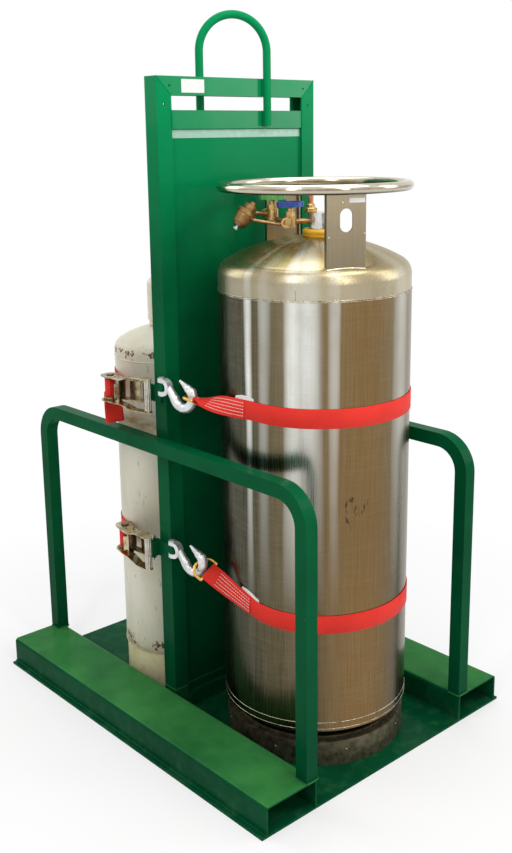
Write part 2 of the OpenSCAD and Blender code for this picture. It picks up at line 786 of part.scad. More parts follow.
module dewar_top_head() {
  color(steel) at_dewar() difference() {
    translate([0, 0, spring_z]) rotate_extrude()
      head_shell(dewar_r - 1, dewar_crown, dewar_knuckle, shell_t, spring_z - shell_seam);
    translate([neck_c[0], neck_c[1], dome_z - 30]) cylinder(r = knuckle_r + run, h = 60);
  }
}

bottom_spring = shell_low + 20;
module dewar_bottom_head() {
  color(steel) at_dewar() translate([0, 0, bottom_spring]) mirror([0, 0, 1]) rotate_extrude()
    head_shell(dewar_r - shell_t, dewar_crown, dewar_knuckle, shell_t, 20);
}

// rolled foot ring with a turned-in top that carries the bottom head
module dewar_foot_ring() {
  top = base_t + foot_h;
  seat = 222;
  color("#6f6a5e") at_dewar() difference() {
    rotate_extrude() {
      translate([foot_r - 4, base_t]) square([4, foot_h]);
      translate([seat, top - 4]) square([foot_r - seat, 4]);
      translate([seat, base_t + 18]) square([4, foot_h - 14]);
      translate([seat, base_t + 18]) square([foot_r - seat - 1, 4]);
    }
    translate([0, 0, bottom_spring]) mirror([0, 0, 1]) rotate_extrude()
      head_area(dewar_r - shell_t, dewar_crown, dewar_knuckle, 20);
  }
}

vessel_low = 175;
vessel_high = 1225;
vessel_crown = 400;
vessel_knuckle = 40;
module dewar_vessel() {
  color("#c8c8c4") at_dewar() rotate_extrude() {
    translate([0, vessel_high]) head_shell(vessel_r, vessel_crown, vessel_knuckle, vessel_t, 20);
    translate([0, vessel_low]) mirror([0, 1])
      head_shell(vessel_r, vessel_crown, vessel_knuckle, vessel_t, 20);
    translate([vessel_r - vessel_t, vessel_low]) square([vessel_t, vessel_high - vessel_low]);
  }
}

neck_c = [15, -13];
neck_r = 38;
neck_top = 1451;
vessel_dome = vessel_high + head_rise(vessel_r, vessel_crown, vessel_knuckle);
knuckle_r = neck_r - 5;
module dewar_neck() {
  foot = dome_at(neck_r) - 1;
  color("#c4c0b4") at_dewar() difference() {
    translate([neck_c[0], neck_c[1], 0]) {
      translate([0, 0, foot]) cylinder(r = knuckle_r, h = neck_top - foot - 9);
      translate([0, 0, neck_top - 40]) cylinder(r = neck_r, h = 38);
      translate([0, 0, vessel_dome - 6]) cylinder(r = 16, h = foot - vessel_dome + 8);
    }
    translate([neck_c[0], neck_c[1], vessel_dome - 8]) cylinder(r = 13, h = neck_top - vessel_dome - 14);
    translate([0, 0, vessel_dome - vessel_crown]) sphere(vessel_crown + run);
  }
}

// yellow collar round the neck's foot, seated on the dome
module neck_collar() {
  z = dome_at(neck_r + 18);
  color("#e2b21c") at_dewar() difference() {
    translate([neck_c[0], neck_c[1], 0]) rotate_extrude() {
      translate([knuckle_r + run, z - 4]) square([neck_r - knuckle_r + 5, 24]);
      translate([neck_r + 5, z + 12]) circle(8);
      translate([neck_r, z - 4]) square([11, 14]);
    }
    translate([0, 0, dome_z - dewar_crown]) sphere(dewar_crown + run);
  }
}

module guard_ring() {
  mean = dewar_r - 0.5 - ring_tube/2;
  color("#c9c6bc") at_dewar() translate([0, 0, ring_z]) rotate_extrude() translate([mean, 0])
    difference() { circle(ring_tube/2); circle(ring_tube/2 - 2.5); }
}

support_r = 232;
support_t = 4;
// folded plate: face with a rounded slot, two side lips, foot on the dome, head under the ring
module ring_support() {
  low = dome_at(support_r) - 8;
  high = ring_z - ring_tube/2 + 1;
  difference() {
    union() {
      translate([support_r - support_t, -support_w/2, low]) cube([support_t, support_w, high - low]);
      for (s = [-1, 1]) translate([support_r - 16, s*(support_w/2 - support_t/2) - support_t/2, low])
        cube([16, support_t, high - low]);
    }
    translate([support_r - 2*support_t, 0, ring_z - 73]) rotate([0, 90, 0]) linear_extrude(3*support_t) {
      translate([-12, 0]) circle(16);
      translate([12, 0]) circle(16);
      square([24, 32], center = true);
    }
    translate([0, 0, ring_z]) rotate_extrude() translate([dewar_r - 0.5 - ring_tube/2, 0]) circle(ring_tube/2);
    translate([0, 0, dome_z - dewar_crown]) sphere(dewar_crown + run);
  }
}

supports_apart = 184;   // turn from the front support to the rear one

module ring_supports() {
  color("#b7b3a8") at_dewar() for (a = [0, supports_apart]) rotate(support_turn + a) ring_support();
}

// ---- valves: each on a pipe from the neck, at a distance and direction from the dewar's axis
brass = "#b58a3a";
valve_z = 1428;
liquid_at = [-67, 87];
vent_at = [-67, 20];
regulator_at = [-140, 108];
liquid_z = valve_z + 16;
regulator_z = valve_z + 20;
body_r = 15;            // radius of a valve body
port_r = 9;             // radius of its outlet
flange_r = 13;          // radius of the outlet's flange and of the bonnet nut
port_l = 38;            // outlet from the valve's axis to the flange's face
stem_r = 4;             // radius of a handwheel's stem
liquid_port = 75;       // directions in which the outlets point
vent_port = 210;

module valve_body(port_turn) {
  translate([0, 0, -14]) cylinder(r = body_r, h = 28);
  translate([0, 0, 13]) cylinder(r = flange_r, h = 12, $fn = 6);
  difference() {
    translate([0, 0, 24]) cylinder(r = port_r - 1, h = 10);
    translate([0, 0, 23]) cylinder(r = stem_r + run, h = 12);
  }
  rotate(port_turn) rotate([0, 90, 0]) {
    cylinder(r = port_r, h = port_l - 8);
    difference() {
      translate([0, 0, port_l - 12]) cylinder(r = flange_r, h = 12);
      translate([0, 0, port_l - 11]) cylinder(r = port_r - 1, h = 12);
    }
  }
}

module handwheel(r) {
  translate([0, 0, 25 + clear]) cylinder(r = stem_r, h = 20);
  translate([0, 0, 36]) cylinder(r = 10, h = 12);
  translate([0, 0, 38]) difference() {
    cylinder(r = r, h = 13);
    translate([0, 0, 7]) cylinder(r = r - 7, h = 7);
    for (i = [0:9]) rotate(i*36) translate([r + 4, 0, -1]) cylinder(r = 7, h = 16);
    for (i = [0:4]) rotate(i*72 + 18) translate([r*0.55, 0, -1]) cylinder(r = 6, h = 10);
  }
}

module at_valve(p, z) { at_dewar() translate([p[0], p[1], z]) children(); }

module liquid_valve() { color(brass) at_valve(liquid_at, liquid_z) valve_body(liquid_port); }
module vent_valve() { color(brass) at_valve(vent_at, valve_z) valve_body(vent_port); }
module liquid_handwheel() { color("#3f9a3c") at_valve(liquid_at, liquid_z) handwheel(33); }
module vent_handwheel() { color("#27448f") at_valve(vent_at, valve_z) handwheel(35); }

// bell-shaped pressure regulator, its bonnet hanging down and outwards
regulator_tilt = [0, 140, 160];
module at_regulator() { at_valve(regulator_at, regulator_z) rotate(regulator_tilt) children(); }
module regulator_area(grow) {
  polygon([[0, -34 - grow], [9 + grow, -34 - grow], [9 + grow, -26 - grow], [17 + grow, -24 - grow],
    [17 + grow, -8 - grow], [27 + grow, -6 - grow], [27 + grow, 4 + grow], [25 + grow, 6 + grow],
    [19 + grow, 30 + grow], [12 + grow, 38 + grow], [0, 38 + grow]]);
}
module pressure_regulator() {
  color(brass) at_regulator() difference() {
    rotate_extrude() regulator_area(0);
    translate([0, 0, 20]) cylinder(r = 4 + run, h = 30);
  }
}
module regulator_screw() {
  color("#a7a49c") at_regulator() {
    translate([0, 0, 24]) cylinder(r = 4, h = 24);
    translate([0, 0, 44]) cylinder(r = 6, h = 5, $fn = 6);
  }
}

module relief_valve() {
  color(brass) at_valve([40, -10], neck_top - 2) {
    cylinder(r = 9, h = 14, $fn = 6);
    translate([0, 0, 14]) cylinder(r = 7, h = 22);
    translate([0, 0, 36]) cylinder(r = 8, h = 6);
  }
}

function on(p, z) = [p[0], p[1], z];

// pipe through a list of points, with a ball at each bend
module pipe(points, r) {
  for (i = [1:len(points) - 1])
    along(points[i - 1], points[i]) cylinder(r = r, h = norm(points[i] - points[i - 1]));
  for (i = [1:len(points) - 2]) along(points[i], points[i + 1]) sphere(r + 0.2);
}

// steel and copper pipes between the neck, both valves and the regulator
module dewar_pipes() {
  color("#b87646") at_dewar() difference() {
    union() {
      pipe([on(neck_c, valve_z), on(vent_at, valve_z)], 7);
      pipe([on(vent_at, valve_z - 3), on(liquid_at, liquid_z - 10)], 6);
      pipe([on(liquid_at, liquid_z), on(regulator_at, regulator_z + 4)], 5);
      pipe([on(vent_at, valve_z), [-95, 32, valve_z - 6], [-146, 70, valve_z + 6],
        on(regulator_at, regulator_z - 8)], 4);
    }
    at_plan(neck_c) cylinder(r = neck_r + run, h = dome_z*2);
    at_plan(vent_at) translate([0, 0, valve_z - 20]) cylinder(r = body_r + run, h = 40);
    at_plan(liquid_at) translate([0, 0, liquid_z - 20]) cylinder(r = body_r + run, h = 40);
    translate(on(regulator_at, regulator_z)) rotate(regulator_tilt) rotate_extrude()
      regulator_area(run);
  }
}

module at_plan(p) { translate([p[0], p[1], 0]) children(); }

// ---------------------------------------------------------------- gas cylinder
module at_gas() { translate([gas_c[0], gas_c[1], 0]) children(); }
gas_crown = 260;
gas_knuckle = 35;
gas_spring = gas_seam + 20;
gas_dome = gas_spring + head_rise(gas_r, gas_crown, gas_knuckle);

module gas_shell() {
  color("#ece8da") at_gas() difference() {
    rotate_extrude() {
      translate([0, gas_spring]) head_shell(gas_r, gas_crown, gas_knuckle, gas_t, 30);
      translate([0, gas_foot_h + 35]) mirror([0, 1])
        head_shell(gas_r, gas_crown, gas_knuckle, gas_t, 30);
      translate([gas_r - gas_t, gas_foot_h + 35]) square([gas_t, gas_spring - gas_foot_h - 35]);
    }
    translate([0, 0, gas_dome - 20]) cylinder(r = 20, h = 40);
  }
}

module gas_foot_ring() {
  r = gas_r - 3;
  color("#ddd9ca") at_gas() difference() {
    rotate_extrude() translate([r - 4, base_t]) square([4, gas_foot_h + 35 - base_t]);
    translate([0, 0, gas_foot_h + 35]) mirror([0, 0, 1])
      rotate_extrude() head_area(gas_r, gas_crown, gas_knuckle, 30);
  }
}

valve_seat = 22;         // height of the valve's shoulder over the dome
module gas_neck() {
  color("#d9d4c4") at_gas() difference() {
    union() {
      translate([0, 0, gas_dome - 12]) cylinder(r = 20, h = 20);
      translate([0, 0, gas_dome]) cylinder(r = cap_r - cap_t - run, h = valve_seat - run);
    }
    translate([0, 0, gas_dome - 13]) cylinder(r = 14 + run, h = 40);
    translate([0, 0, gas_spring]) rotate_extrude() difference() {
      head_area(gas_r, gas_crown, gas_knuckle, 30);
      translate([0, -40]) square([20, 200]);
    }
  }
}

module gas_filler() {
  wall = gas_t + run;
  color("#cfc9b8") at_gas() rotate_extrude() intersection() {
    union() {
      translate([0, gas_spring]) head_area(gas_r - wall, gas_crown - wall, gas_knuckle - wall, 30);
      translate([0, gas_foot_h + 35]) mirror([0, 1])
        head_area(gas_r - wall, gas_crown - wall, gas_knuckle - wall, 30);
      translate([0, gas_foot_h + 35]) square([gas_r - wall, gas_spring - gas_foot_h - 35]);
    }
    square([gas_r, gas_dome - 14]);
  }
}

module gas_valve() {
  color(brass) at_gas() translate([0, 0, gas_dome]) difference() {
    union() {
      translate([0, 0, -12]) cylinder(r = 14, h = 12 + valve_seat);
      translate([0, 0, valve_seat]) cylinder(r = 17, h = 30);
      translate([0, 0, 52]) cylinder(r = 12, h = 16, $fn = 6);
      translate([0, 0, 38]) rotate([0, 90, 200]) cylinder(r = 10, h = 32);
    }
    translate([0, 0, 40]) cylinder(r = 5 + run, h = 40);
  }
}

module gas_valve_spindle() {
  color("#a7a49c") at_gas() translate([0, 0, gas_dome]) {
    translate([0, 0, 42]) cylinder(r = 5, h = 30);
    translate([-4.5, -4.5, 71]) cube([9, 9, 14]);
  }
}

// open-bottomed cap with two window slots and a rounded crown, screwed down over the neck
cap_t = 3.5;
cap_lift = 15;          // height of its lower edge above the dome
module gas_cap() {
  z = gas_dome + cap_lift;
  color("#e3dfd0") at_gas() difference() {
    translate([0, 0, z]) rotate_extrude() difference() {
      cap_area(cap_r, cap_h);
      translate([0, -eps]) cap_area(cap_r - cap_t, cap_h - cap_t);
    }
    for (a = [0, 180]) rotate(a + 40) translate([0, 0, z + cap_h*0.52]) rotate([0, 90, 0])
      linear_extrude(2*cap_r) {
        translate([-14, 0]) circle(11);
        translate([14, 0]) circle(11);
        square([28, 22], center = true);
      }
    translate([0, 0, z]) cylinder(r = 14, h = 3*cap_h);
  }
}

module cap_area(r, h) {
  k = 24;
  square([r, h - k]);
  translate([r - k, h - k]) intersection() { circle(k); square(k); }
  translate([0, h - k - eps]) square([r - k, k + eps]);
}

base_plate();
fork_channel_left();
fork_channel_right();
guard_rail_left();
guard_rail_right();
wall_post_left();
wall_post_right();
wall_top_channel();
wall_bottom_channel();
wall_crossbars();
wall_sheet_front();
wall_sheet_rear();
wall_insulation();
lifting_loop();
strap_lugs();
hook_pins();
hook_upper();
hook_lower();
strap_rings();
strap_upper();
strap_lower();
ratchet_frame_upper();
ratchet_frame_lower();
anchor_bolts();
spool_upper();
spool_lower();
web_roll_upper();
web_roll_lower();
frame_pawl_upper();
frame_pawl_lower();
ratchet_handle_upper();
ratchet_handle_lower();
handle_pawl_upper();
handle_pawl_lower();
dewar_shell();
dewar_top_head();
dewar_bottom_head();
dewar_foot_ring();
dewar_vessel();
dewar_neck();
neck_collar();
guard_ring();
ring_supports();
liquid_valve();
vent_valve();
liquid_handwheel();
vent_handwheel();
pressure_regulator();
regulator_screw();
relief_valve();
dewar_pipes();
gas_shell();
gas_foot_ring();
gas_neck();
gas_filler();
gas_valve();
gas_valve_spindle();
gas_cap();
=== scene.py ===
# Dresses the cylinder cart: paint, brushed steel, webbing with its stitching, welds and small fittings.
import json
from math import asin, atan2, ceil, cos, degrees, exp, hypot, pi, radians, sin, sqrt

import bmesh
import bpy
from mathutils import Matrix, Vector


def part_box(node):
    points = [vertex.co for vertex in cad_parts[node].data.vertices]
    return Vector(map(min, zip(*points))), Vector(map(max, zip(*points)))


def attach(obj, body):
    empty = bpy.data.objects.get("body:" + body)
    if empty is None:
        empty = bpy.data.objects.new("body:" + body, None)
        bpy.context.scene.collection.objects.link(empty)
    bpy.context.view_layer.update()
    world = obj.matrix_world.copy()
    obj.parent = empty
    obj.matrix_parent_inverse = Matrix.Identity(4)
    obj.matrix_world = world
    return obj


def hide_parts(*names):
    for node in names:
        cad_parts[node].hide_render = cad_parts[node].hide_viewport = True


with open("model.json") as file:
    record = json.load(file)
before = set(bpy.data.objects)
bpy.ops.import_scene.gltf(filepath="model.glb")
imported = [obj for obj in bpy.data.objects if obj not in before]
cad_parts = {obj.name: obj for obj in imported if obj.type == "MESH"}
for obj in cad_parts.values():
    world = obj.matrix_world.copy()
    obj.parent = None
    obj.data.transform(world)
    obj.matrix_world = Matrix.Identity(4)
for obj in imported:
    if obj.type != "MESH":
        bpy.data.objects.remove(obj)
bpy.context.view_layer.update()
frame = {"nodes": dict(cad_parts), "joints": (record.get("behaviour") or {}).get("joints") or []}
scene = bpy.context.scene
joints = {j["name"]: j for j in frame["joints"]}
up = Vector((0, 0, 1))


def unit(a):
    return Vector((cos(radians(a)), sin(radians(a)), 0))


def flat(v):
    return Vector((v[0], v[1], 0))


def pivot(name):
    return Vector(joints[name]["pos_m"])


def placed(name, data):
    obj = bpy.data.objects.new(name, data)
    scene.collection.objects.link(obj)
    return obj


# camera, lights and world
camera = {
    "place": (-1.9314, -2.2181, 1.6480),
    "yaw": 41.9,          # from +Y towards +X
    "pitch": -12.904,
    "roll": -0.744,
    "lens": 44.09,
    "shift": -0.0623,
}


def makeCamera(c):
    data = bpy.data.cameras.new("camera")
    data.lens = c["lens"]
    data.sensor_width = 36
    data.shift_y = c["shift"]
    obj = placed("camera", data)
    yaw, pitch, roll = radians(c["yaw"]), radians(c["pitch"]), radians(c["roll"])
    look = Vector((sin(yaw)*cos(pitch), cos(yaw)*cos(pitch), sin(pitch)))
    right = look.cross(up).normalized()
    top = right.cross(look)
    turned = right*cos(roll) + top*sin(roll)
    top = turned.cross(look)
    m = Matrix((turned, top, -look)).transposed().to_4x4()
    m.translation = Vector(c["place"])
    obj.matrix_world = m
    scene.camera = obj


makeCamera(camera)
scene.view_settings.view_transform = "Standard"

lampAim = Vector((0, 0, 0.9))
lamps = [  # place, size, power, tint
    ((-2.6, -1.2, 2.9), (0.5, 2.6), 21, (1, 0.99, 0.97)),
    ((-0.6, -3.6, 2.6), (0.35, 2.8), 30, (1, 0.99, 0.97)),
    ((0.1, -1.6, 3.1), (1.4, 0.5), 16, (1, 1, 0.98)),
    ((2.6, -2.4, 2.4), (1.2, 2.6), 30, (0.98, 0.99, 1)),
    ((0.2, 0.2, 4.4), (2.6, 2.6), 60, (1, 1, 1)),
    ((-1.5, 3.0, 2.6), (2.0, 2.0), 30, (1, 1, 1)),
]


def makeLamps():
    for i, (place, size, power, tint) in enumerate(lamps):
        data = bpy.data.lights.new(f"lamp{i}", "AREA")
        data.shape = "RECTANGLE"
        data.size, data.size_y = size
        data.energy = power
        data.color = tint
        turn = (lampAim - Vector(place)).to_track_quat("-Z", "Y").to_matrix().to_4x4()
        placed(f"lamp{i}", data).matrix_world = Matrix.Translation(Vector(place)) @ turn


makeLamps()


def linkNodes(tree, *pairs):
    for a, b in pairs:
        tree.links.new(a, b)


def seenRays(tree):
    # 1 for rays from the camera, off metal and through glass
    path = tree.nodes.new("ShaderNodeLightPath")
    total = path.outputs["Is Camera Ray"]
    for label in ("Is Glossy Ray", "Is Transmission Ray"):
        more = tree.nodes.new("ShaderNodeMath")
        more.operation = "MAXIMUM"
        linkNodes(tree, (total, more.inputs[0]), (path.outputs[label], more.inputs[1]))
        total = more.outputs[0]
    return total


def makeWorld():
    world = bpy.data.worlds.new("studio")
    scene.world = world
    world.use_nodes = True
    t = world.node_tree
    t.nodes.clear()
    out = t.nodes.new("ShaderNodeOutputWorld")
    mix = t.nodes.new("ShaderNodeMixShader")
    linkNodes(t, (seenRays(t), mix.inputs[0]), (mix.outputs[0], out.inputs[0]))
    for i, (color, strength) in enumerate((((0.95, 0.96, 0.97, 1), 0.42), ((1, 1, 1, 1), 1.0))):
        shade = t.nodes.new("ShaderNodeBackground")
        shade.inputs["Color"].default_value = color
        shade.inputs["Strength"].default_value = strength
        linkNodes(t, (shade.outputs[0], mix.inputs[i + 1]))


makeWorld()


# material helpers
class Paint:
    # a new material with its shader, and short ways to add the nodes that colour it
    def __init__(self, name, color, rough, metal=0.0, **more):
        self.mat = bpy.data.materials.new(name)
        self.mat.use_nodes = True
        self.tree = self.mat.node_tree
        self.shader = self.tree.nodes["Principled BSDF"]
        self.set("Base Color", (*color, 1))
        self.set("Roughness", rough)
        self.set("Metallic", metal)
        for key, value in more.items():
            self.set(key.replace("_", " "), value)
        self.mat.diffuse_color = (*color, 1)
        self.where = self.coords()

    def set(self, socket, value):
        self.shader.inputs[socket].default_value = value

    def node(self, kind, **props):
        n = self.tree.nodes.new("ShaderNode" + kind)
        for k, v in props.items():
            setattr(n, k, v)
        return n

    def put(self, socket, value):
        if hasattr(value, "node"):
            self.tree.links.new(value, socket)
        else:
            socket.default_value = value

    def coords(self, stretch=(1, 1, 1), centre=(0, 0, 0), uv=False):
        c = self.node("TexCoord")
        m = self.node("Mapping")
        m.inputs["Scale"].default_value = stretch
        m.inputs["Location"].default_value = [-a*b for a, b in zip(centre, stretch)]
        self.put(m.inputs["Vector"], c.outputs["UV" if uv else "Object"])
        return m.outputs[0]

    def noise(self, scale, detail=4.0, rough=0.55, distort=0.0, where=None):
        n = self.node("TexNoise")
        self.put(n.inputs["Vector"], where or self.where)
        settings = {"Scale": scale, "Detail": detail, "Roughness": rough, "Distortion": distort}
        for key, value in settings.items():
            n.inputs[key].default_value = value
        return n.outputs["Fac"]

    def wave(self, where, scale, direction="X", distort=0.0):
        n = self.node("TexWave", bands_direction=direction)
        self.put(n.inputs["Vector"], where)
        n.inputs["Scale"].default_value = scale
        n.inputs["Distortion"].default_value = distort
        return n.outputs["Fac"]

    def spread(self, value, low, high, to=(0.0, 1.0)):
        n = self.node("MapRange", clamp=True)
        for i, v in enumerate((value, low, high, *to)):
            self.put(n.inputs[i], v)
        return n.outputs[0]

    def calc(self, kind, a, b=0.0):
        n = self.node("Math", operation=kind)
        self.put(n.inputs[0], a)
        self.put(n.inputs[1], b)
        return n.outputs[0]

    def times(self, a, b):
        return self.calc("MULTIPLY", a, b)

    def axis(self, which):
        c = self.node("TexCoord")
        s = self.node("SeparateXYZ")
        self.put(s.inputs[0], c.outputs["Object"])
        return s.outputs[which]

    def near(self, value, middle, reach):
        gap = self.calc("ABSOLUTE", self.calc("SUBTRACT", value, middle))
        return self.spread(gap, 0.0, reach, (1.0, 0.0))

    def band(self, centre, at, reach, wobble=None):
        # 1 on two opposite sides of an upright axis, fading out within reach degrees
        x = self.calc("SUBTRACT", self.axis("X"), centre[0])
        y = self.calc("SUBTRACT", self.axis("Y"), centre[1])
        turn = self.calc("SUBTRACT", self.calc("ARCTAN2", y, x), radians(at))
        if wobble:
            turn = self.calc("ADD", turn, wobble)
        return self.spread(self.calc("COSINE", self.times(turn, 2.0)), cos(radians(2*reach)), 1.0)

    def blend(self, fac, a, b):
        n = self.node("Mix", data_type="RGBA")
        self.put(n.inputs[0], fac)
        for socket, v in ((n.inputs[6], a), (n.inputs[7], b)):
            self.put(socket, v if hasattr(v, "node") else (*v, 1))
        return n.outputs[2]

    def color(self, value):
        self.put(self.shader.inputs["Base Color"], value)

    def rough(self, grain, low, high):
        # roughness between two values, following a noise
        self.put(self.shader.inputs["Roughness"], self.spread(grain, 0.3, 0.7, (low, high)))

    def bump(self, height, strength=0.2, depth=0.001):
        n = self.node("Bump")
        n.inputs["Strength"].default_value = strength
        n.inputs["Distance"].default_value = depth
        self.put(n.inputs["Height"], height)
        before = self.shader.inputs["Normal"]
        if before.is_linked:
            self.put(n.inputs["Normal"], before.links[0].from_socket)
        self.put(before, n.outputs[0])


greenLook = {  # tones, and the heights between which some of them set in
    "clean": (0.0025, 0.165, 0.054),
    "deep": (0.0012, 0.098, 0.034),
    "low": (0.001, 0.036, 0.015),       # painted shade low down, where less light reaches it, with grime
    "lowZ": (1.5, 0.1),
    "litHigh": (0.002, 0.270, 0.090),     # painted light high on the wall
    "litHighZ": (1.3, 1.75),
    "worn": (0.045, 0.230, 0.055),      # painted highlight, with some wear, on top of the fork channels, and this near to it
    "wornReach": 0.003,
    "dust": (0.10, 0.30, 0.13),         # near the floor
    "dustZ": (0.02, 0.11),
    "chip": (0.16, 0.13, 0.09),
}


def greenEnamel(name, shine, coat):
    look = greenLook
    p = Paint(name, look["clean"], 0.3, 0.0, Specular_IOR_Level=shine, Coat_Weight=coat, Coat_Roughness=0.06)
    height = p.axis("Z")
    base = p.blend(p.spread(p.noise(3.0, 5), 0.35, 0.68), look["deep"], look["clean"])
    # painted shade with grime: darker towards the bottom
    base = p.blend(p.spread(height, *look["lowZ"], (0.0, 0.65)), base, look["low"])
    # painted light: lighter green high on the wall
    base = p.blend(p.spread(height, *look["litHighZ"], (0.0, 0.9)), base, look["litHigh"])
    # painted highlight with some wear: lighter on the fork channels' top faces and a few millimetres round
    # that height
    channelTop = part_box("fork_channel_left")[1].z
    topFace = p.spread(p.near(height, channelTop, look["wornReach"]), 0.0, 0.5)
    topFace = p.times(topFace, p.spread(p.noise(6, 5), 0.3, 0.65, (0.35, 0.95)))
    base = p.blend(topFace, base, look["worn"])
    floorDust = p.times(p.spread(height, *look["dustZ"], (0.14, 0.0)),
                       p.spread(p.noise(22, 6), 0.48, 0.72))
    base = p.blend(floorDust, base, look["dust"])
    p.color(p.blend(p.spread(p.noise(95, 3, 0.7), 0.735, 0.75), base, look["chip"]))
    p.rough(p.noise(9, 5), 0.16, 0.36)
    p.bump(p.noise(160, 2), 0.06, 0.001)
    p.bump(p.noise(7, 3), 0.10, 0.006)
    return p.mat


steelLook = {
    "shade": (0.014, 0.024, 0.013),     # painted reflection of the green frame, dull green-black, on two sides
    # painted warm brown reflection on two sides
    "bronze": (0.205, 0.114, 0.036),
    # colour of the painted highlight streaks
    "glint": (0.86, 0.88, 0.84),
    "stain": (0.17, 0.11, 0.05),
    "brushed": (0.40, 0.35, 0.25),
    "scratch": (0.035, 0.028, 0.018),
    "shadeAt": (166, 44), "bronzeAt": (252, 28),      # angle and reach
    # angle, reach and amount of each painted highlight streak
    "glints": ((185, 3.2, 1.0), (196, 4, 0.45), (212, 5, 1.0), (221, 10, 0.9), (236, 3.0, 0.5),
               (285, 9, 0.55)),
    # heights between which the painted highlights fade in
    "glintZ": (0.45, 1.05),
}
# tones low and high on a piece and the heights between which they change (painted shade low on the shell, a
# painted highlight at the head's lower rim), strength of the painted reflection bands and of the stains,
# roughness, and the angle, reach, height and half height of a scratched patch
shellLook = {"low": (0.080, 0.058, 0.025), "high": (0.205, 0.165, 0.095), "z": (0.2, 1.25),
             "bands": 0.95, "stained": 0.35, "rough": (0.18, 0.34), "scratched": (250, 9, 0.715, 0.10)}
headLook = {"low": (0.50, 0.45, 0.32), "high": (0.265, 0.20, 0.055), "z": (1.285, 1.35), "bands": 0.3,
            "stained": 0.6, "rough": (0.22, 0.38), "scratched": None}
plateLook = {"low": (0.19, 0.152, 0.095), "high": (0.25, 0.205, 0.135), "z": (1.3, 1.5), "bands": 0.0,
             "stained": 0.3, "rough": (0.3, 0.42), "scratched": None}


def stainless(name, centre, look):
    # brushed steel round an upright axis: its tone turns with the angle in painted reflections and
    # highlights, and streaks run up and down
    p = Paint(name, look["high"], 0.3, 1.0, Anisotropic=0.45)
    z = p.axis("Z")
    fine = p.noise(520, 3, 0.6, where=p.coords((1, 1, 0.012), centre))
    weave = p.noise(14, 3, 0.6, where=p.coords((1, 1, 30), centre))
    broad = p.noise(9, 4, 0.5, where=p.coords((1, 1, 0.05), centre))
    stain = p.noise(5, 6, 0.6, where=p.coords((1, 1, 0.6), centre))
    wobble = p.spread(broad, 0.3, 0.7, (-0.05, 0.05))
    # tone by height: painted shade low on the shell, a painted highlight at the head's lower rim
    tone = p.blend(p.spread(z, *look["z"]), look["low"], look["high"])
    # painted reflections: bronze and green-black bands on two sides, then painted highlight streaks that fade
    # lower down
    if look["bands"]:
        for key in ("bronze", "shade"):
            side = p.band(centre, *steelLook[key + "At"], wobble)
            tone = p.blend(p.times(side, look["bands"]), tone, steelLook[key])
        fade = p.spread(z, *steelLook["glintZ"], (0.02, 1.0))
        for at, reach, amount in steelLook["glints"]:
            glint = p.times(p.band(centre, at, reach, wobble), fade)
            tone = p.blend(p.times(glint, amount*look["bands"]), tone, steelLook["glint"])
    tone = p.blend(p.spread(fine, 0.35, 0.75, (0.0, 0.22)), tone, steelLook["brushed"])
    tone = p.blend(p.spread(weave, 0.45, 0.75, (0.0, 0.14)), tone, steelLook["brushed"])
    tone = p.blend(p.spread(stain, 0.5, 0.75, (0.0, look["stained"])), tone, steelLook["stain"])
    if look["scratched"]:
        at, reach, height, half = look["scratched"]
        patch = p.times(p.spread(p.band(centre, at, reach), 0.0, 0.4), p.near(z, height, half))
        marks = p.noise(34, 7, 0.75, 0.8, where=p.coords((1, 1, 0.4), centre))
        marks = p.spread(p.calc("ADD", marks, p.times(patch, 0.25)), 0.735, 0.76, (0.0, 0.85))
        tone = p.blend(marks, tone, steelLook["scratch"])
    p.color(tone)
    p.rough(fine, *look["rough"])
    p.bump(fine, 0.05, 0.0004)
    return p.mat


ringLook = {"bright": (0.56, 0.52, 0.42), "gold": (0.24, 0.155, 0.07), "under": (0.045, 0.032, 0.018)}


def polishedRing(name, low, high):
    # polished tube: a painted brown reflection along its middle, painted shade underneath
    p = Paint(name, ringLook["bright"], 0.14, 1.0)
    z = p.axis("Z")
    tube = high - low
    patch = p.spread(p.noise(14, 4), 0.35, 0.6, (0.35, 1.0))
    # painted reflection: a brown line along the tube's middle, broken up in patches
    line = p.near(z, low + tube*0.52, tube*0.16)
    tone = p.blend(p.times(line, patch), ringLook["bright"], ringLook["gold"])
    # painted shade on the underside
    tone = p.blend(p.spread(z, low + tube*0.26, low + tube*0.08), tone, ringLook["under"])
    p.color(p.blend(p.spread(p.noise(60, 5, 0.7), 0.6, 0.75, (0.0, 0.5)), tone, ringLook["gold"]))
    p.rough(p.noise(40, 4), 0.08, 0.24)
    return p.mat


creamLook = {
    "paint": (0.80, 0.765, 0.635),
    "aged": (0.62, 0.575, 0.43),
    "tan": (0.38, 0.27, 0.10),
    "rust": (0.13, 0.05, 0.016),
    "scuff": (0.27, 0.25, 0.20),
    "specks": ((1.047, 0.026), (0.160, 0.034)),     # heights with rusty specks, and their reach
    "bands": ((0.842, 0.045), (0.070, 0.10)),       # heights with a tan stain, and their reach
}


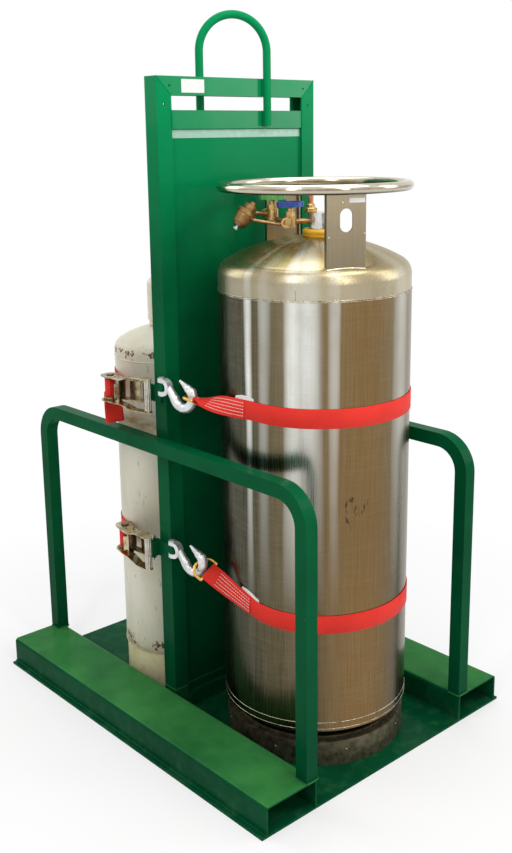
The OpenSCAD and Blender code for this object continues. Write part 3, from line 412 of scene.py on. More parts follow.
def creamPaint():
    p = Paint("creamPaint", creamLook["paint"], 0.42, 0.0, Specular_IOR_Level=0.3, Coat_Weight=0.1,
              Coat_Roughness=0.3)
    z = p.axis("Z")
    age = p.spread(p.noise(7, 6, where=p.coords((1, 1, 0.35))), 0.36, 0.7)
    base = p.blend(age, creamLook["paint"], creamLook["aged"])
    smear = p.noise(16, 6, 0.6, where=p.coords((1, 1, 2.5)))
    for height, reach in creamLook["bands"]:
        stain = p.times(p.spread(p.near(z, height, reach), 0.0, 0.7), p.spread(smear, 0.3, 0.6))
        base = p.blend(p.times(stain, 0.95), base, creamLook["tan"])
    speck = p.noise(105, 5, 0.65)
    patch = p.spread(p.noise(17, 3), 0.36, 0.5)
    for height, reach in creamLook["specks"]:
        edge = p.times(p.near(z, height, reach), patch)
        rust = p.spread(p.calc("ADD", speck, p.times(edge, 0.24)), 0.69, 0.715)
        base = p.blend(rust, base, creamLook["rust"])
    scuff = p.spread(p.noise(40, 8, 0.75, where=p.coords((1, 1, 0.4))), 0.61, 0.66, (0.0, 0.6))
    p.color(p.blend(scuff, base, creamLook["scuff"]))
    p.rough(p.noise(12, 4), 0.34, 0.55)
    p.bump(p.noise(80, 3), 0.08, 0.001)
    p.bump(speck, 0.06, 0.0006)
    return p.mat


def webbing():
    p = Paint("webbing", (0.80, 0.05, 0.03), 0.62, 0.0, Specular_IOR_Level=0.15, Sheen_Weight=0.06,
              Sheen_Roughness=0.4)
    ribs = p.wave(p.coords(uv=True), 160, "X", 0.2)
    cords = p.wave(p.coords(uv=True), 95, "Y", 0.1)
    weave = p.times(ribs, cords)
    soil = p.noise(14, 5)
    base = p.blend(p.spread(soil, 0.4, 0.75, (0.0, 0.55)), (0.90, 0.042, 0.028), (0.70, 0.026, 0.018))
    p.color(p.blend(p.spread(weave, 0.0, 0.45, (0.30, 0.0)), base, (0.40, 0.025, 0.015)))
    p.bump(weave, 0.35, 0.0006)
    return p.mat


def forged(name, color, rough=0.42, spots=(0.30, 0.29, 0.27)):
    p = Paint(name, color, rough, 0.75)
    tone = p.blend(p.spread(p.noise(45, 5), 0.35, 0.7), color, [c*0.72 for c in color])
    p.color(p.blend(p.spread(p.noise(170, 4, 0.7), 0.62, 0.7, (0.0, 0.6)), tone, spots))
    p.rough(p.noise(60, 4), rough - 0.1, rough + 0.14)
    p.bump(p.noise(210, 3), 0.22, 0.0008)
    return p.mat


def yellowZinc():
    p = Paint("yellowZinc", (0.42, 0.32, 0.14), 0.28, 0.95)
    tone = p.blend(p.spread(p.noise(34, 4), 0.38, 0.62), (0.42, 0.27, 0.07), (0.56, 0.54, 0.40))
    tint = p.blend(p.spread(p.noise(15, 3), 0.46, 0.62, (0.0, 0.85)), tone, (0.17, 0.075, 0.028))
    p.color(p.blend(p.spread(p.noise(130, 5, 0.7), 0.58, 0.66), tint, (0.04, 0.025, 0.012)))
    p.rough(p.noise(50, 4), 0.12, 0.30)
    p.bump(p.noise(240, 2), 0.1, 0.0005)
    return p.mat


def castMetal(name, bright, dull, rough, tarnish):
    p = Paint(name, bright, rough, 0.9)
    tone = p.spread(p.noise(55, 5, 0.6), 0.4, 0.7, (0.0, tarnish))
    p.color(p.blend(tone, bright, dull))
    p.rough(p.noise(90, 4), rough - 0.1, rough + 0.18)
    p.bump(p.noise(330, 3), 0.14, 0.0005)
    return p.mat


def plainFinish(name, color, worn, rough, coat, scale):
    p = Paint(name, color, rough, 0.0, Coat_Weight=coat, Coat_Roughness=0.2)
    p.color(p.blend(p.spread(p.noise(scale, 5, 0.65), 0.5, 0.76, (0.0, 0.7)), color, worn))
    p.rough(p.noise(scale*1.7, 3), rough - 0.08, rough + 0.12)
    p.bump(p.noise(scale*4, 2), 0.12, 0.0006)
    return p.mat


dewarLow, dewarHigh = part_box("dewar_shell")
gasLow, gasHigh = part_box("gas_shell")
dewarC = (dewarLow + dewarHigh)/2
gasC = (gasLow + gasHigh)/2
dewarR = (dewarHigh.x - dewarLow.x)/2
gasR = (gasHigh.x - gasLow.x)/2
dewarAxis = (dewarC.x, dewarC.y, 0)

green = greenEnamel("greenEnamel", 0.015, 0.04)
glossGreen = greenEnamel("glossGreen", 0.14, 0.14)      # where a lamp shows in the paint
paleGreen = plainFinish("paleGreen", (0.30, 0.52, 0.41), (0.56, 0.68, 0.60), 0.35, 0.2, 50)
shellSteel = stainless("shellSteel", dewarAxis, shellLook)
headSteel = stainless("headSteel", dewarAxis, headLook)
plateSteel = stainless("plateSteel", dewarAxis, plateLook)
ringSteel = polishedRing("ringSteel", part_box("guard_ring")[0].z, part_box("guard_ring")[1].z)
footSteel = castMetal("footSteel", (0.16, 0.14, 0.09), (0.045, 0.042, 0.024), 0.45, 0.9)
polished = castMetal("polished", (0.66, 0.61, 0.49), (0.34, 0.27, 0.16), 0.17, 0.8)
cream = creamPaint()
red = webbing()
hookSteel = forged("hookSteel", (0.80, 0.81, 0.82), 0.32, (0.42, 0.41, 0.39))
zincSteel = forged("zincSteel", (0.58, 0.58, 0.57), 0.36)
goldZinc = yellowZinc()
goldRing = castMetal("goldRing", (0.80, 0.47, 0.11), (0.42, 0.21, 0.045), 0.24, 0.6)
darkZinc = castMetal("darkZinc", (0.30, 0.23, 0.12), (0.10, 0.07, 0.04), 0.38, 0.8)
brass = castMetal("brass", (0.62, 0.42, 0.16), (0.26, 0.15, 0.06), 0.3, 0.75)
bronze = castMetal("bronze", (0.30, 0.175, 0.068), (0.12, 0.065, 0.025), 0.4, 0.8)
copper = castMetal("copper", (0.52, 0.25, 0.12), (0.22, 0.09, 0.045), 0.32, 0.7)
pipeBrass = castMetal("pipeBrass", (0.40, 0.235, 0.10), (0.16, 0.08, 0.035), 0.34, 0.8)
chrome = castMetal("chrome", (0.74, 0.74, 0.72), (0.36, 0.33, 0.27), 0.2, 0.5)
silverGrip = castMetal("silverGrip", (0.62, 0.61, 0.57), (0.22, 0.19, 0.13), 0.24, 0.6)
dirtyTan = plainFinish("dirtyTan", (0.92, 0.82, 0.50), (0.55, 0.42, 0.20), 0.55, 0.0, 28)
seamSteel = castMetal("seamSteel", (0.60, 0.54, 0.42), (0.12, 0.09, 0.05), 0.3, 0.9)
greenKnob = plainFinish("greenKnob", (0.075, 0.36, 0.06), (0.26, 0.50, 0.16), 0.45, 0.2, 80)
blueKnob = plainFinish("blueKnob", (0.014, 0.055, 0.30), (0.07, 0.12, 0.34), 0.4, 0.3, 80)
yellowPlastic = plainFinish("yellowPlastic", (0.84, 0.46, 0.02), (0.62, 0.33, 0.03), 0.5, 0.0, 40)
whiteLabel = plainFinish("whiteLabel", (0.82, 0.82, 0.80), (0.66, 0.66, 0.63), 0.5, 0.1, 120)
thread = plainFinish("thread", (0.95, 0.90, 0.86), (0.84, 0.70, 0.64), 0.7, 0.0, 300)
boardCore = plainFinish("boardCore", (0.62, 0.55, 0.38), (0.45, 0.38, 0.25), 0.9, 0.0, 90)


def both(*names):
    return [f"{name}_{key}" for name in names for key in ("upper", "lower")]


looks = {
    green: [n for n in frame["nodes"] if n.startswith(("base_", "fork_", "guard_rail", "wall_"))]
    + ["lifting_loop", "strap_lugs"],
    glossGreen: ["wall_top_channel", "wall_crossbars"],
    boardCore: ["wall_insulation", "gas_filler"],
    hookSteel: both("hook"),
    zincSteel: ["hook_pins", "anchor_bolts", "regulator_screw", "gas_valve_spindle"],
    goldRing: ["strap_rings"],
    goldZinc: both("ratchet_frame", "ratchet_handle", "handle_pawl"),
    darkZinc: both("spool", "frame_pawl"),
    red: both("strap", "web_roll"),
    shellSteel: ["dewar_shell"],
    headSteel: ["dewar_top_head", "dewar_bottom_head", "dewar_vessel"],
    footSteel: ["dewar_foot_ring"],
    plateSteel: ["ring_supports"],
    chrome: ["dewar_neck"],
    ringSteel: ["guard_ring"],
    yellowPlastic: ["neck_collar"],
    brass: ["liquid_valve", "vent_valve", "relief_valve", "gas_valve"],
    bronze: ["pressure_regulator"],
    pipeBrass: ["dewar_pipes"],
    greenKnob: ["liquid_handwheel"],
    blueKnob: ["vent_handwheel"],
    cream: ["gas_shell", "gas_neck", "gas_cap"],
    dirtyTan: ["gas_foot_ring"],
}
for mat, names in looks.items():
    for name in names:
        slots = frame["nodes"][name].data.materials
        slots.clear()
        slots.append(mat)
for node in frame["nodes"].values():
    if not node.data.materials:
        print("no finish yet:", node.name)
print("finishes made")


# mesh helpers
def meshPiece(name, verts, faces, mat, body, slot, uvs=None, smooth=True):
    data = bpy.data.meshes.new(name)
    data.from_pydata([tuple(v) for v in verts], [], faces)
    if uvs:
        layer = data.uv_layers.new(name="UVMap")
        for poly in data.polygons:
            for k, loop in enumerate(poly.loop_indices):
                layer.data[loop].uv = uvs[poly.index][k]
    obj = placed(name, data)
    data.materials.append(mat)
    if smooth:
        data.polygons.foreach_set("use_smooth", [True]*len(data.polygons))
    bm = bmesh.new()
    bm.from_mesh(data)
    bmesh.ops.recalc_face_normals(bm, faces=bm.faces)
    bm.to_mesh(data)
    bm.free()
    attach(obj, body)
    return obj


def walls(rings, sides, closed=False):
    # quads between each ring of vertices and the next
    pairs = [(i, (i + 1) % rings) for i in range(rings if closed else rings - 1)]
    return [[i*sides + k, i*sides + (k + 1) % sides, j*sides + (k + 1) % sides, j*sides + k]
            for i, j in pairs for k in range(sides)]


def caps(rings, sides):
    return [list(range(sides))[::-1], [(rings - 1)*sides + k for k in range(sides)]]


def tubeParts(points, radius, sides=12, closed=False):
    # rings of points swept along a path, with caps where the path is open
    points = [Vector(p) for p in points]
    n = len(points)
    verts, side = [], None
    for i, p in enumerate(points):
        before = points[i - 1] if i or closed else p
        after = points[(i + 1) % n] if i < n - 1 or closed else p
        along = (after - before).normalized()
        if side is None:
            side = along.cross(up if abs(along.z) < 0.9 else Vector((1, 0, 0))).normalized()
        side = (side - along*side.dot(along)).normalized()
        other = along.cross(side)
        verts += [p + radius*(cos(2*pi*k/sides)*side + sin(2*pi*k/sides)*other) for k in range(sides)]
    return verts, walls(n, sides, closed) + ([] if closed else caps(n, sides))


def lathe(profile, place, segments=48):
    # profile of (radius, height) turned round an upright axis, with a pole where the radius is 0
    verts, rows, faces = [], [], []
    for r, h in profile:
        n = segments if r else 1
        rows.append([len(verts) + k % n for k in range(segments)])
        verts += [Vector(place) - unit(360*k/segments)*r + up*h for k in range(n)]
    for a, b in zip(rows, rows[1:]):
        for k in range(segments):
            m = (k + 1) % segments
            faces.append(list(dict.fromkeys((a[k], a[m], b[m], b[k]))))
    return verts, faces


def joined(parts):
    verts, faces = [], []
    for v, f in parts:
        faces += [[k + len(verts) for k in face] for face in f]
        verts += v
    return verts, faces


def smoothPath(points, steps=6):
    # a Catmull-Rom curve through the points
    points = [Vector(p) for p in points]
    ends = [2*points[0] - points[1], *points, 2*points[-1] - points[-2]]
    out = []
    for a, b, c, d in zip(ends, ends[1:], ends[2:], ends[3:]):
        for i in range(steps):
            t = i/steps
            out.append(0.5*(2*b + (c - a)*t + (2*a - 5*b + 4*c - d)*t*t + (3*b - a - 3*c + d)*t**3))
    return out + [points[-1]]


# geometry node trees
class Growth:
    # a geometry node tree whose nodes take their inputs as they are made
    def __init__(self, name, *inputs):
        self.tree = bpy.data.node_groups.new(name, "GeometryNodeTree")
        sockets = [("Geometry", "INPUT", "Geometry"), *[(label, "INPUT", "Float") for label in inputs],
                   ("Finish", "INPUT", "Material"), ("Geometry", "OUTPUT", "Geometry")]
        for label, way, kind in sockets:
            self.tree.interface.new_socket(label, in_out=way, socket_type="NodeSocket" + kind)
        self.source = self.tree.nodes.new("NodeGroupInput")
        self.end = self.tree.nodes.new("NodeGroupOutput")

    def add(self, kind, inputs=None, **props):
        n = self.tree.nodes.new(kind if "Node" in kind else "GeometryNode" + kind)
        for k, v in props.items():
            setattr(n, k, v)
        for key, v in (inputs or {}).items():
            if hasattr(v, "node"):
                self.tree.links.new(v, n.inputs[key])
            else:
                n.inputs[key].default_value = v
        return n.outputs[0]

    def given(self, label):
        return self.source.outputs[label]

    def stations(self, step):
        # points at even steps along every edge path
        curve = self.add("MeshToCurve", {"Mesh": self.given("Geometry")})
        return self.add("ResampleCurve", {"Curve": curve, "Length": self.given(step)},
                        mode="LENGTH")

    def done(self, geometry):
        flat = self.add("RealizeInstances", {0: geometry})
        painted = self.add("SetMaterial", {"Geometry": flat, "Material": self.given("Finish")})
        self.tree.links.new(painted, self.end.inputs[0])
        return self.tree


def beadTree():
    # weld bead: a round section along every edge path, rippled and lumpy
    g = Growth("weldBead", "Radius", "Step", "Ripple")
    ring = g.add("CurvePrimitiveCircle", {"Resolution": 6, "Radius": g.given("Radius")})
    skin = g.add("CurveToMesh",
                 {"Curve": g.stations("Step"), "Profile Curve": ring, "Fill Caps": True})
    lump = g.add("ShaderNodeTexNoise", {"Scale": 260})
    level = g.add("ShaderNodeMath", {0: lump, 1: 0.5}, operation="SUBTRACT")
    gain = g.add("ShaderNodeMath", {0: level, 1: g.given("Ripple")}, operation="MULTIPLY")
    normal = g.add("InputNormal")
    push = g.add("ShaderNodeVectorMath", {0: normal, "Scale": gain}, operation="SCALE")
    return g.done(g.add("SetPosition", {"Geometry": skin, "Offset": push}))


def stitchTree():
    # thread stitches: short round stitches laid along every edge path
    g = Growth("stitches", "Spacing", "Length", "Thread")
    points = g.stations("Spacing")
    turn = g.add("FunctionNodeAlignRotationToVector", {"Vector": g.add("InputTangent")}, axis="Z")
    rod = g.add("MeshCylinder",
                {"Vertices": 6, "Radius": g.given("Thread"), "Depth": g.given("Length")})
    return g.done(g.add("InstanceOnPoints",
                        {"Points": points, "Rotation": turn, "Instance": rod}))


def rivetTree():
    # rivets: a low round head on every point, its dome along the point's facing attribute
    g = Growth("rivets", "Radius", "Height")
    points = g.add("MeshToPoints", {"Mesh": g.given("Geometry")})
    facing = g.add("InputNamedAttribute", {"Name": "facing"}, data_type="FLOAT_VECTOR")
    turn = g.add("FunctionNodeAlignRotationToVector", {"Vector": facing}, axis="Z")
    head = g.add("MeshUVSphere", {"Segments": 12, "Rings": 8, "Radius": g.given("Radius")})
    size = g.add("ShaderNodeCombineXYZ", {"X": 1, "Y": 1, "Z": g.given("Height")})
    return g.done(g.add("InstanceOnPoints",
                        {"Points": points, "Rotation": turn, "Instance": head, "Scale": size}))


trees = {"bead": beadTree(), "stitch": stitchTree(), "rivet": rivetTree()}


def grow(name, tree, verts, edges, values, body, facing=None):
    # runs a node tree on a wire mesh and keeps the result as a plain mesh
    data = bpy.data.meshes.new(name + "Path")
    data.from_pydata([tuple(v) for v in verts], edges, [])
    if facing:
        layer = data.attributes.new("facing", "FLOAT_VECTOR", "POINT")
        layer.data.foreach_set("vector", [c for v in facing for c in v])
    wire = placed(name + "Path", data)
    mod = wire.modifiers.new("grow", "NODES")
    mod.node_group = tree
    ids = {s.name: s.identifier for s in tree.interface.items_tree if s.in_out == "INPUT"}
    for key, value in values.items():
        mod[ids[key]] = value
    seen = wire.evaluated_get(bpy.context.evaluated_depsgraph_get())
    solid = bpy.data.meshes.new_from_object(seen)
    bpy.data.objects.remove(wire)
    solid.name = name
    obj = placed(name, solid)
    solid.polygons.foreach_set("use_smooth", [True]*len(solid.polygons))
    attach(obj, body)
    return obj


def wires(paths):
    verts, edges = [], []
    for path in paths:
        edges += [(len(verts) + i, len(verts) + i + 1) for i in range(len(path) - 1)]
        verts += [Vector(p) for p in path]
    return verts, edges


print("trees made")

# webbing
web = {
    "width": 0.050,
    "thick": 0.0022,
    "rollInner": 0.0094, "pitch": 0.00245,      # turns on the spool
    "gap": 0.0004,        # clearance over what it wraps
    "rollRadius": 0.017,
    "doubled": 0.155,     # length of the sewn second ply
    "twistSteps": 28,
    "arcStep": 2.5,       # degrees between two stations
}
hookShape = {"bowlX": 0.080, "bowlZ": -0.014, "ringBar": 0.058, "wire": 0.004}
straps = {
    "upper": {"dip": 4, "twist": 102, "heights": (-16, -17, -25, -25, -25, -26)},
    "lower": {"dip": 19, "twist": 58, "heights": (-38, -97, -115, -78, -68, -38)},
}
settle = 9                # how soon the webbing reaches a seat's far height


def heading(a, b):
    d = b[0] - a[0]
    return degrees(atan2(d.y, d.x)) - degrees(asin((b[1] - a[1])/hypot(d.x, d.y)))


def routeOf(key):
    # the axes at both ends and the seats in turn, each (centre, radius, height in, height out)
    pin = pivot(f"hook_{key}_swing")
    spool = pivot(f"spool_{key}_turn")
    wallLow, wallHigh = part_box("wall_post_right")
    off = web["thick"]/2 + web["gap"]
    z = [pin.z + h/1000 for h in straps[key]["heights"]]
    return pin, spool, [
        (flat(pin), 0.0, z[0], z[0]),
        (flat(dewarC), dewarR + off, z[1], z[2]),
        (Vector((wallHigh.x, wallLow.y, 0)), off, z[3], z[3]),
        (Vector((wallHigh.x, wallHigh.y, 0)), off, z[4], z[4]),
        (flat(gasC), gasR + off, z[5], spool.z),
        (flat(spool), -(web["rollRadius"] + off), spool.z, spool.z)]


def stationsOf(key):
    # frames along the webbing, each (centre, thickness direction, width direction)
    pin, spool, seats = routeOf(key)
    s = straps[key]
    turns = [heading(a, b) for a, b in zip(seats, seats[1:])]
    dip = radians(s["dip"])
    reach = hookShape["ringBar"]
    u = hookShape["bowlX"] + reach*cos(dip)
    bar = pin + unit(turns[0])*u + up*(hookShape["bowlZ"] - reach*sin(dip))
    out = unit(turns[0] - 90)
    touch = flat(seats[1][0]) + out*seats[1][1] + up*seats[1][2]
    rows = []
    steps = web["twistSteps"]
    for i in range(steps):
        f = i/steps
        twist = radians(s["twist"]*(1 - f)**2)
        lean = dip*(1 - f)
        ahead = unit(turns[0])
        rise = ahead*sin(lean) + up*cos(lean)
        rows.append((bar.lerp(touch, f), cos(twist)*out + sin(twist)*rise, cos(twist)*rise - sin(twist)*out))
    for i in range(1, len(seats) - 1):
        centre, radius, zin, zout = seats[i]
        a0 = turns[i - 1] - 90
        a1 = turns[i] - 90 + (360 if turns[i] < turns[i - 1] else 0)
        n = max(4, ceil(abs(a1 - a0)/web["arcStep"]))
        for k in range(n + 1):
            a = a0 + (a1 - a0)*k/n
            done = (1 - exp(-settle*k/n))/(1 - exp(-settle))
            rows.append((centre + unit(a)*radius + up*(zin + (zout - zin)*done), unit(a), up))
    last = turns[-1] - 90
    rows.append((seats[-1][0] + unit(last)*seats[-1][1] + up*spool.z, unit(last), up))
    return rows, bar


def band(rows, width, thick):
    # rounded-edge band through a list of frames, with a uv along and across it
    half, t = width/2, thick/2
    edge = [(-half + t*0.6, t), (half - t*0.6, t), (half, t*0.3), (half, -t*0.3),
            (half - t*0.6, -t), (-half + t*0.6, -t), (-half, -t*0.3), (-half, t*0.3)]
    m = len(edge)
    verts, uvs, run = [], [], [0.0]
    for a, b in zip(rows, rows[1:]):
        run.append(run[-1] + (b[0] - a[0]).length)
    for p, thickDir, wideDir in rows:
        verts += [p + wideDir*w + thickDir*h for w, h in edge]
    for a, b in zip(run, run[1:]):
        for (va, _), (vb, _) in zip(edge, edge[1:] + edge[:1]):
            uvs.append([(a, va + half), (a, vb + half), (b, vb + half), (b, va + half)])
    faces = walls(len(rows), m)
    for ring in (0, len(rows) - 1):
        faces.append([ring*m + k for k in range(m)])
        uvs.append([(run[ring], w + half) for w, _ in edge])
    return verts, faces, uvs


def plyAt(rows, distance):
    # frame at a distance along the rows
    left = distance
    for a, b in zip(rows, rows[1:]):
        step = (b[0] - a[0]).length
        if left <= step:
            f = left/step
            return tuple(x.lerp(y, f) for x, y in zip(a, b))
        left -= step
    return rows[-1]


sewn = {
    "slack": 0.0002,          # webbing off the ring's wire
    "parted": 0.032,          # length over which the plies part towards the ring
    "plySteps": 40, "bendSteps": 8,
    "rows": 5, "margin": 0.004, "from": 0.038, "to": 0.150, "stations": 23,
    "spacing": 0.0066, "stitch": 0.0044, "thread": 0.00075,
}
tag = {"from": 0.118, "length": 0.066, "rise": 0.010, "crown": 0.005, "hidden": 0.004, "steps": 6,
       "half": 0.0004}


def sewnStrap(key):
    rows, bar = stationsOf(key)
    t = web["thick"]
    wrap = hookShape["wire"] + t/2 + sewn["slack"]

    def standOff(d):
        return wrap*max(0.0, 1 - d/sewn["parted"])**1.5
    outer = []
    for i in range(sewn["plySteps"] + 1):
        d = web["doubled"]*i/sewn["plySteps"]
        p, thickDir, wideDir = plyAt(rows, d)
        outer.append((p + thickDir*(standOff(d) + t*1.02), thickDir, wideDir))
    first, ahead = rows[0], (rows[1][0] - rows[0][0]).normalized()
    bend = []
    for i in range(1, sewn["bendSteps"]):
        a = pi/2 + pi*i/sewn["bendSteps"]
        thickDir = first[1]*sin(a) + ahead*cos(a)
        bend.append((bar + thickDir*wrap, thickDir, first[2]))
    inner = []
    for i, (p, thickDir, wideDir) in enumerate(rows):
        d = (p - first[0]).length if i < web["twistSteps"] else 1.0
        inner.append((p - thickDir*standOff(d), -thickDir, wideDir))
    verts, faces, uvs = band(outer[::-1] + bend + inner, web["width"], t)
    obj = meshPiece(f"webbing_{key}", verts, faces, red, "root", "webbing", uvs)
    stitches(key, rows)
    sewnTag(key, rows)
    return obj


def stitches(key, rows):
    # stitch rows through the doubled length
    lines = []
    last = sewn["stations"] - 1
    for k in range(sewn["rows"]):
        across = (-0.5 + (k + 0.5)/sewn["rows"])*(web["width"] - 2*sewn["margin"])
        line = []
        for i in range(last + 1):
            p, thickDir, wideDir = plyAt(rows, sewn["from"] + (sewn["to"] - sewn["from"])*i/last)
            line.append(p + thickDir*(web["thick"]*1.53) + wideDir*across)
        lines.append(line)
    verts, edges = wires(lines)
    grow(f"stitches_{key}", trees["stitch"], verts, edges,
         {"Spacing": sewn["spacing"], "Length": sewn["stitch"], "Thread": sewn["thread"], "Finish": thread},
         "root")


def sewnTag(key, rows):
    # blank tag sewn in under the webbing's edge
    n, h = tag["steps"], tag["half"]
    quads = []
    for i in range(n + 1):
        p, thickDir, wideDir = plyAt(rows, tag["from"] + tag["length"]*i/n)
        rise = tag["rise"] + tag["crown"]*sin(pi*i/n)
        p = p - thickDir*(web["thick"]*0.4) + wideDir*(web["width"]/2 + rise/2 - tag["hidden"])
        corners = ((-rise/2, h), (rise/2, h), (rise/2, -h), (-rise/2, -h))
        quads += [p + wideDir*w + thickDir*d for w, d in corners]
    faces = [[0, 1, 2, 3], [4*n, 4*n + 3, 4*n + 2, 4*n + 1]] + walls(n + 1, 4)
    meshPiece(f"strap_tag_{key}", quads, faces, whiteLabel, "root", "webbing", smooth=False)


tail = {
    "turn": 83,           # direction away from the spool
    "gap": 0.036,
    "outer": 0.003,       # edges of the hanging ply, measured across
    "inner": -0.054,
    "lean": 8,
    "foot": 0.851,
    # plan of the ply behind the fold, off the spool and across
    "fold": ((0.0185, -0.008), (0.026, -0.022), (0.031, -0.032), (0.0335, -0.026), (0.034, -0.014)),
    "rows": 26, "cols": 8, "bow": 0.0025, "sway": 0.004,
}


def freeEnd():
    spool = pivot("spool_upper_turn")
    away, across = unit(tail["turn"]), unit(tail["turn"] + 90)
    half = web["width"]/2
    lowZ, highZ = spool.z - half, spool.z + half

    def at(x, y, z):
        return flat(spool) + away*x + across*y + up*z
    # ply that comes off the roll and lies behind the fold
    plan = smoothPath([at(x, y, 0) for x, y in tail["fold"]], 5)
    verts, faces, uvs = band([(p + up*spool.z, away, up) for p in plan], web["width"], web["thick"])
    meshPiece("webbing_fold_back", verts, faces, red, "root", "webbing", uvs)
    # folded ply: its top edge is the diagonal fold, then it hangs and leans back in
    t = web["thick"]
    verts, faces = [], []
    rows, cols = tail["rows"], tail["cols"]
    lean = sin(radians(tail["lean"]))
    for side in (1, -1):
        for i in range(rows + 1):
            for k in range(cols + 1):
                f = k/cols
                y = tail["outer"] + (tail["inner"] - tail["outer"])*f
                top = lowZ + 0.004 + (highZ - lowZ - 0.006)*f
                z = top + (tail["foot"] - top)*i/rows
                drop = max(0.0, lowZ - z)
                bow = tail["bow"]*sin(pi*f)*sin(pi*min(1, i/rows))
                x = tail["gap"] - lean*drop*0.9 + bow
                verts.append(at(x + side*t/2, y + tail["sway"]*sin(2.2*i/rows), z))
    n = (rows + 1)*(cols + 1)
    for i in range(rows):
        for k in range(cols):
            a, b = i*(cols + 1) + k, (i + 1)*(cols + 1) + k
            faces += [[a, a + 1, b + 1, b], [n + a, n + b, n + b + 1, n + a + 1]]
    rim = list(range(cols + 1)) + [i*(cols + 1) + cols for i in range(1, rows + 1)]
    rim += [rows*(cols + 1) + k for k in range(cols - 1, -1, -1)]
    rim += [i*(cols + 1) for i in range(rows - 1, 0, -1)]
    faces += [[a, n + a, n + b, b] for a, b in zip(rim, rim[1:] + rim[:1])]
    uvs = [[(verts[k].z, (verts[k] - spool).dot(across)) for k in face] for face in faces]
    meshPiece("webbing_free_end", verts, faces, red, "root", "webbing", uvs)


def webRoll(key):
    # turns of webbing wound on the spool
    spool = pivot(f"spool_{key}_turn")
    inner, outer = web["rollInner"], web["rollRadius"] - web["thick"]/2
    turns = (outer - inner)/web["pitch"]
    n = int(turns*40)
    rows = []
    for i in range(n + 1):
        a = 360*turns*i/n
        r = inner + (outer - inner)*i/n
        rows.append((spool + unit(a)*r, unit(a), up))
    verts, faces, uvs = band(rows, web["width"] - 0.0006, web["thick"])
    obj = meshPiece(f"webbing_roll_{key}", verts, faces, red, f"spool_{key}", "webbing", uvs)
    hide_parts(f"web_roll_{key}")


for key in straps:
    strap = sewnStrap(key)
    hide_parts(f"strap_{key}")
    webRoll(key)
freeEnd()
print("webbing made")

# weld beads
weldLook = {"wall": 0.0032, "base": 0.0042, "mitre": 0.0011, "lug": 0.0026, "seam": 0.0009, "support": 0.0022,
            "cylinder": 0.0016, "step": 0.005}
loopWeld = {"bar": 0.011, "side": 0.0075, "sunk": 0.003}
lugWeld = {"side": 0.0095, "half": 0.02, "step": 0.006}


def circle(centre, r, z, step=4):
    n = 360//step
    return [flat(centre) + up*z + unit(360*k/n)*r for k in range(n + 1)]


def beads(name, paths, radius, mat, body, ripple=0.35):
    verts, edges = wires(paths)
    return grow(name, trees["bead"], verts, edges,
                {"Radius": radius, "Step": max(weldLook["step"], radius*1.2), "Ripple": radius*ripple,
                 "Finish": mat}, body)


def boxLoop(low, high, z):
    corners = ((low.x, low.y), (high.x, low.y), (high.x, high.y), (low.x, high.y))
    return [Vector((x, y, z)) for x, y in corners + corners[:1]]


def divided(path, step=0.02):
    out = []
    for a, b in zip(path, path[1:]):
        n = max(1, int((b - a).length/step))
        out += [a.lerp(b, i/n) for i in range(n)]
    return out + [path[-1]]


def upright(x, y, low, high):
    return [Vector((x, y, low)), Vector((x, y, high))]


def frameWelds():
    post, bars, loop = [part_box(name) for name in ("wall_post_left", "wall_crossbars", "lifting_loop")]
    channelLow, channelHigh = [v.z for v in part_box("wall_bottom_channel")]
    left, face, top = post[0].x, post[0].y, post[1].z
    flange = channelHigh - channelLow
    xIn = -left - flange
    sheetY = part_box("wall_sheet_front")[0].y
    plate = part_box("base_plate")[1].z
    corners = ((-xIn, channelHigh), (-xIn, bars[0].z), (xIn, bars[0].z), (xIn, channelHigh))
    wall = [[Vector((x, sheetY, z)) for x, z in corners + corners[:1]],
            [Vector((left, face, plate)), Vector((-left, face, plate))]]
    wall += [upright(s*xIn, face, bars[0].z, bars[1].z) for s in (-1, 1)]
    legX = loop[1].x - loopWeld["bar"]
    wall += [upright(legX + s*loopWeld["side"], face - loopWeld["sunk"], low, high)
             for s in (-1, 1) for low, high in ((loop[0].z, bars[1].z), (top - flange, top))]
    mitres = [[Vector((s*-left, face, top)), Vector((s*xIn, face, top - flange))] for s in (-1, 1)]
    base, lugs = [], []
    for side in ("left", "right"):
        low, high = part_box(f"fork_channel_{side}")
        base += [[Vector((x, low.y, plate)), Vector((x, high.y, plate))] for x in (low.x, high.x)]
        railLow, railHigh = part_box(f"guard_rail_{side}")
        w = railHigh.x - railLow.x
        for y in (railLow.y, railHigh.y - w):
            corner = Vector((railLow.x, y, 0))
            base.append(boxLoop(corner, corner + Vector((w, w, 0)), max(railLow.z, high.z)))
    for key in straps:
        pin = pivot(f"hook_{key}_swing")
        lugs += [upright(left, pin.y + s*lugWeld["side"], pin.z - lugWeld["half"], pin.z + lugWeld["half"])
                 for s in (-1, 1)]
    for key, paths in (("wall", wall), ("mitre", mitres), ("base", base), ("lug", lugs)):
        lines = [divided(path, lugWeld["step"] if key == "lug" else 0.02) for path in paths]
        beads(key + "_welds", lines, weldLook[key], green, "root")


# the two plates that carry the guard ring: their directions, and how far out their welds lie
supports = {"front": 244, "rear": 68, "weldAt": 0.2325}
seams = {
    "proud": 0.0001, "shell": (0.0, -0.0035), "foot": (0.006, 0.024),
    "cross": 214.4, "crossAt": (0.0, 0.012, 0.024, 0.036),      # direction and heights of the upright seam
    "gasProud": 0.0002, "gasAt": (1.025, 0.135),
}


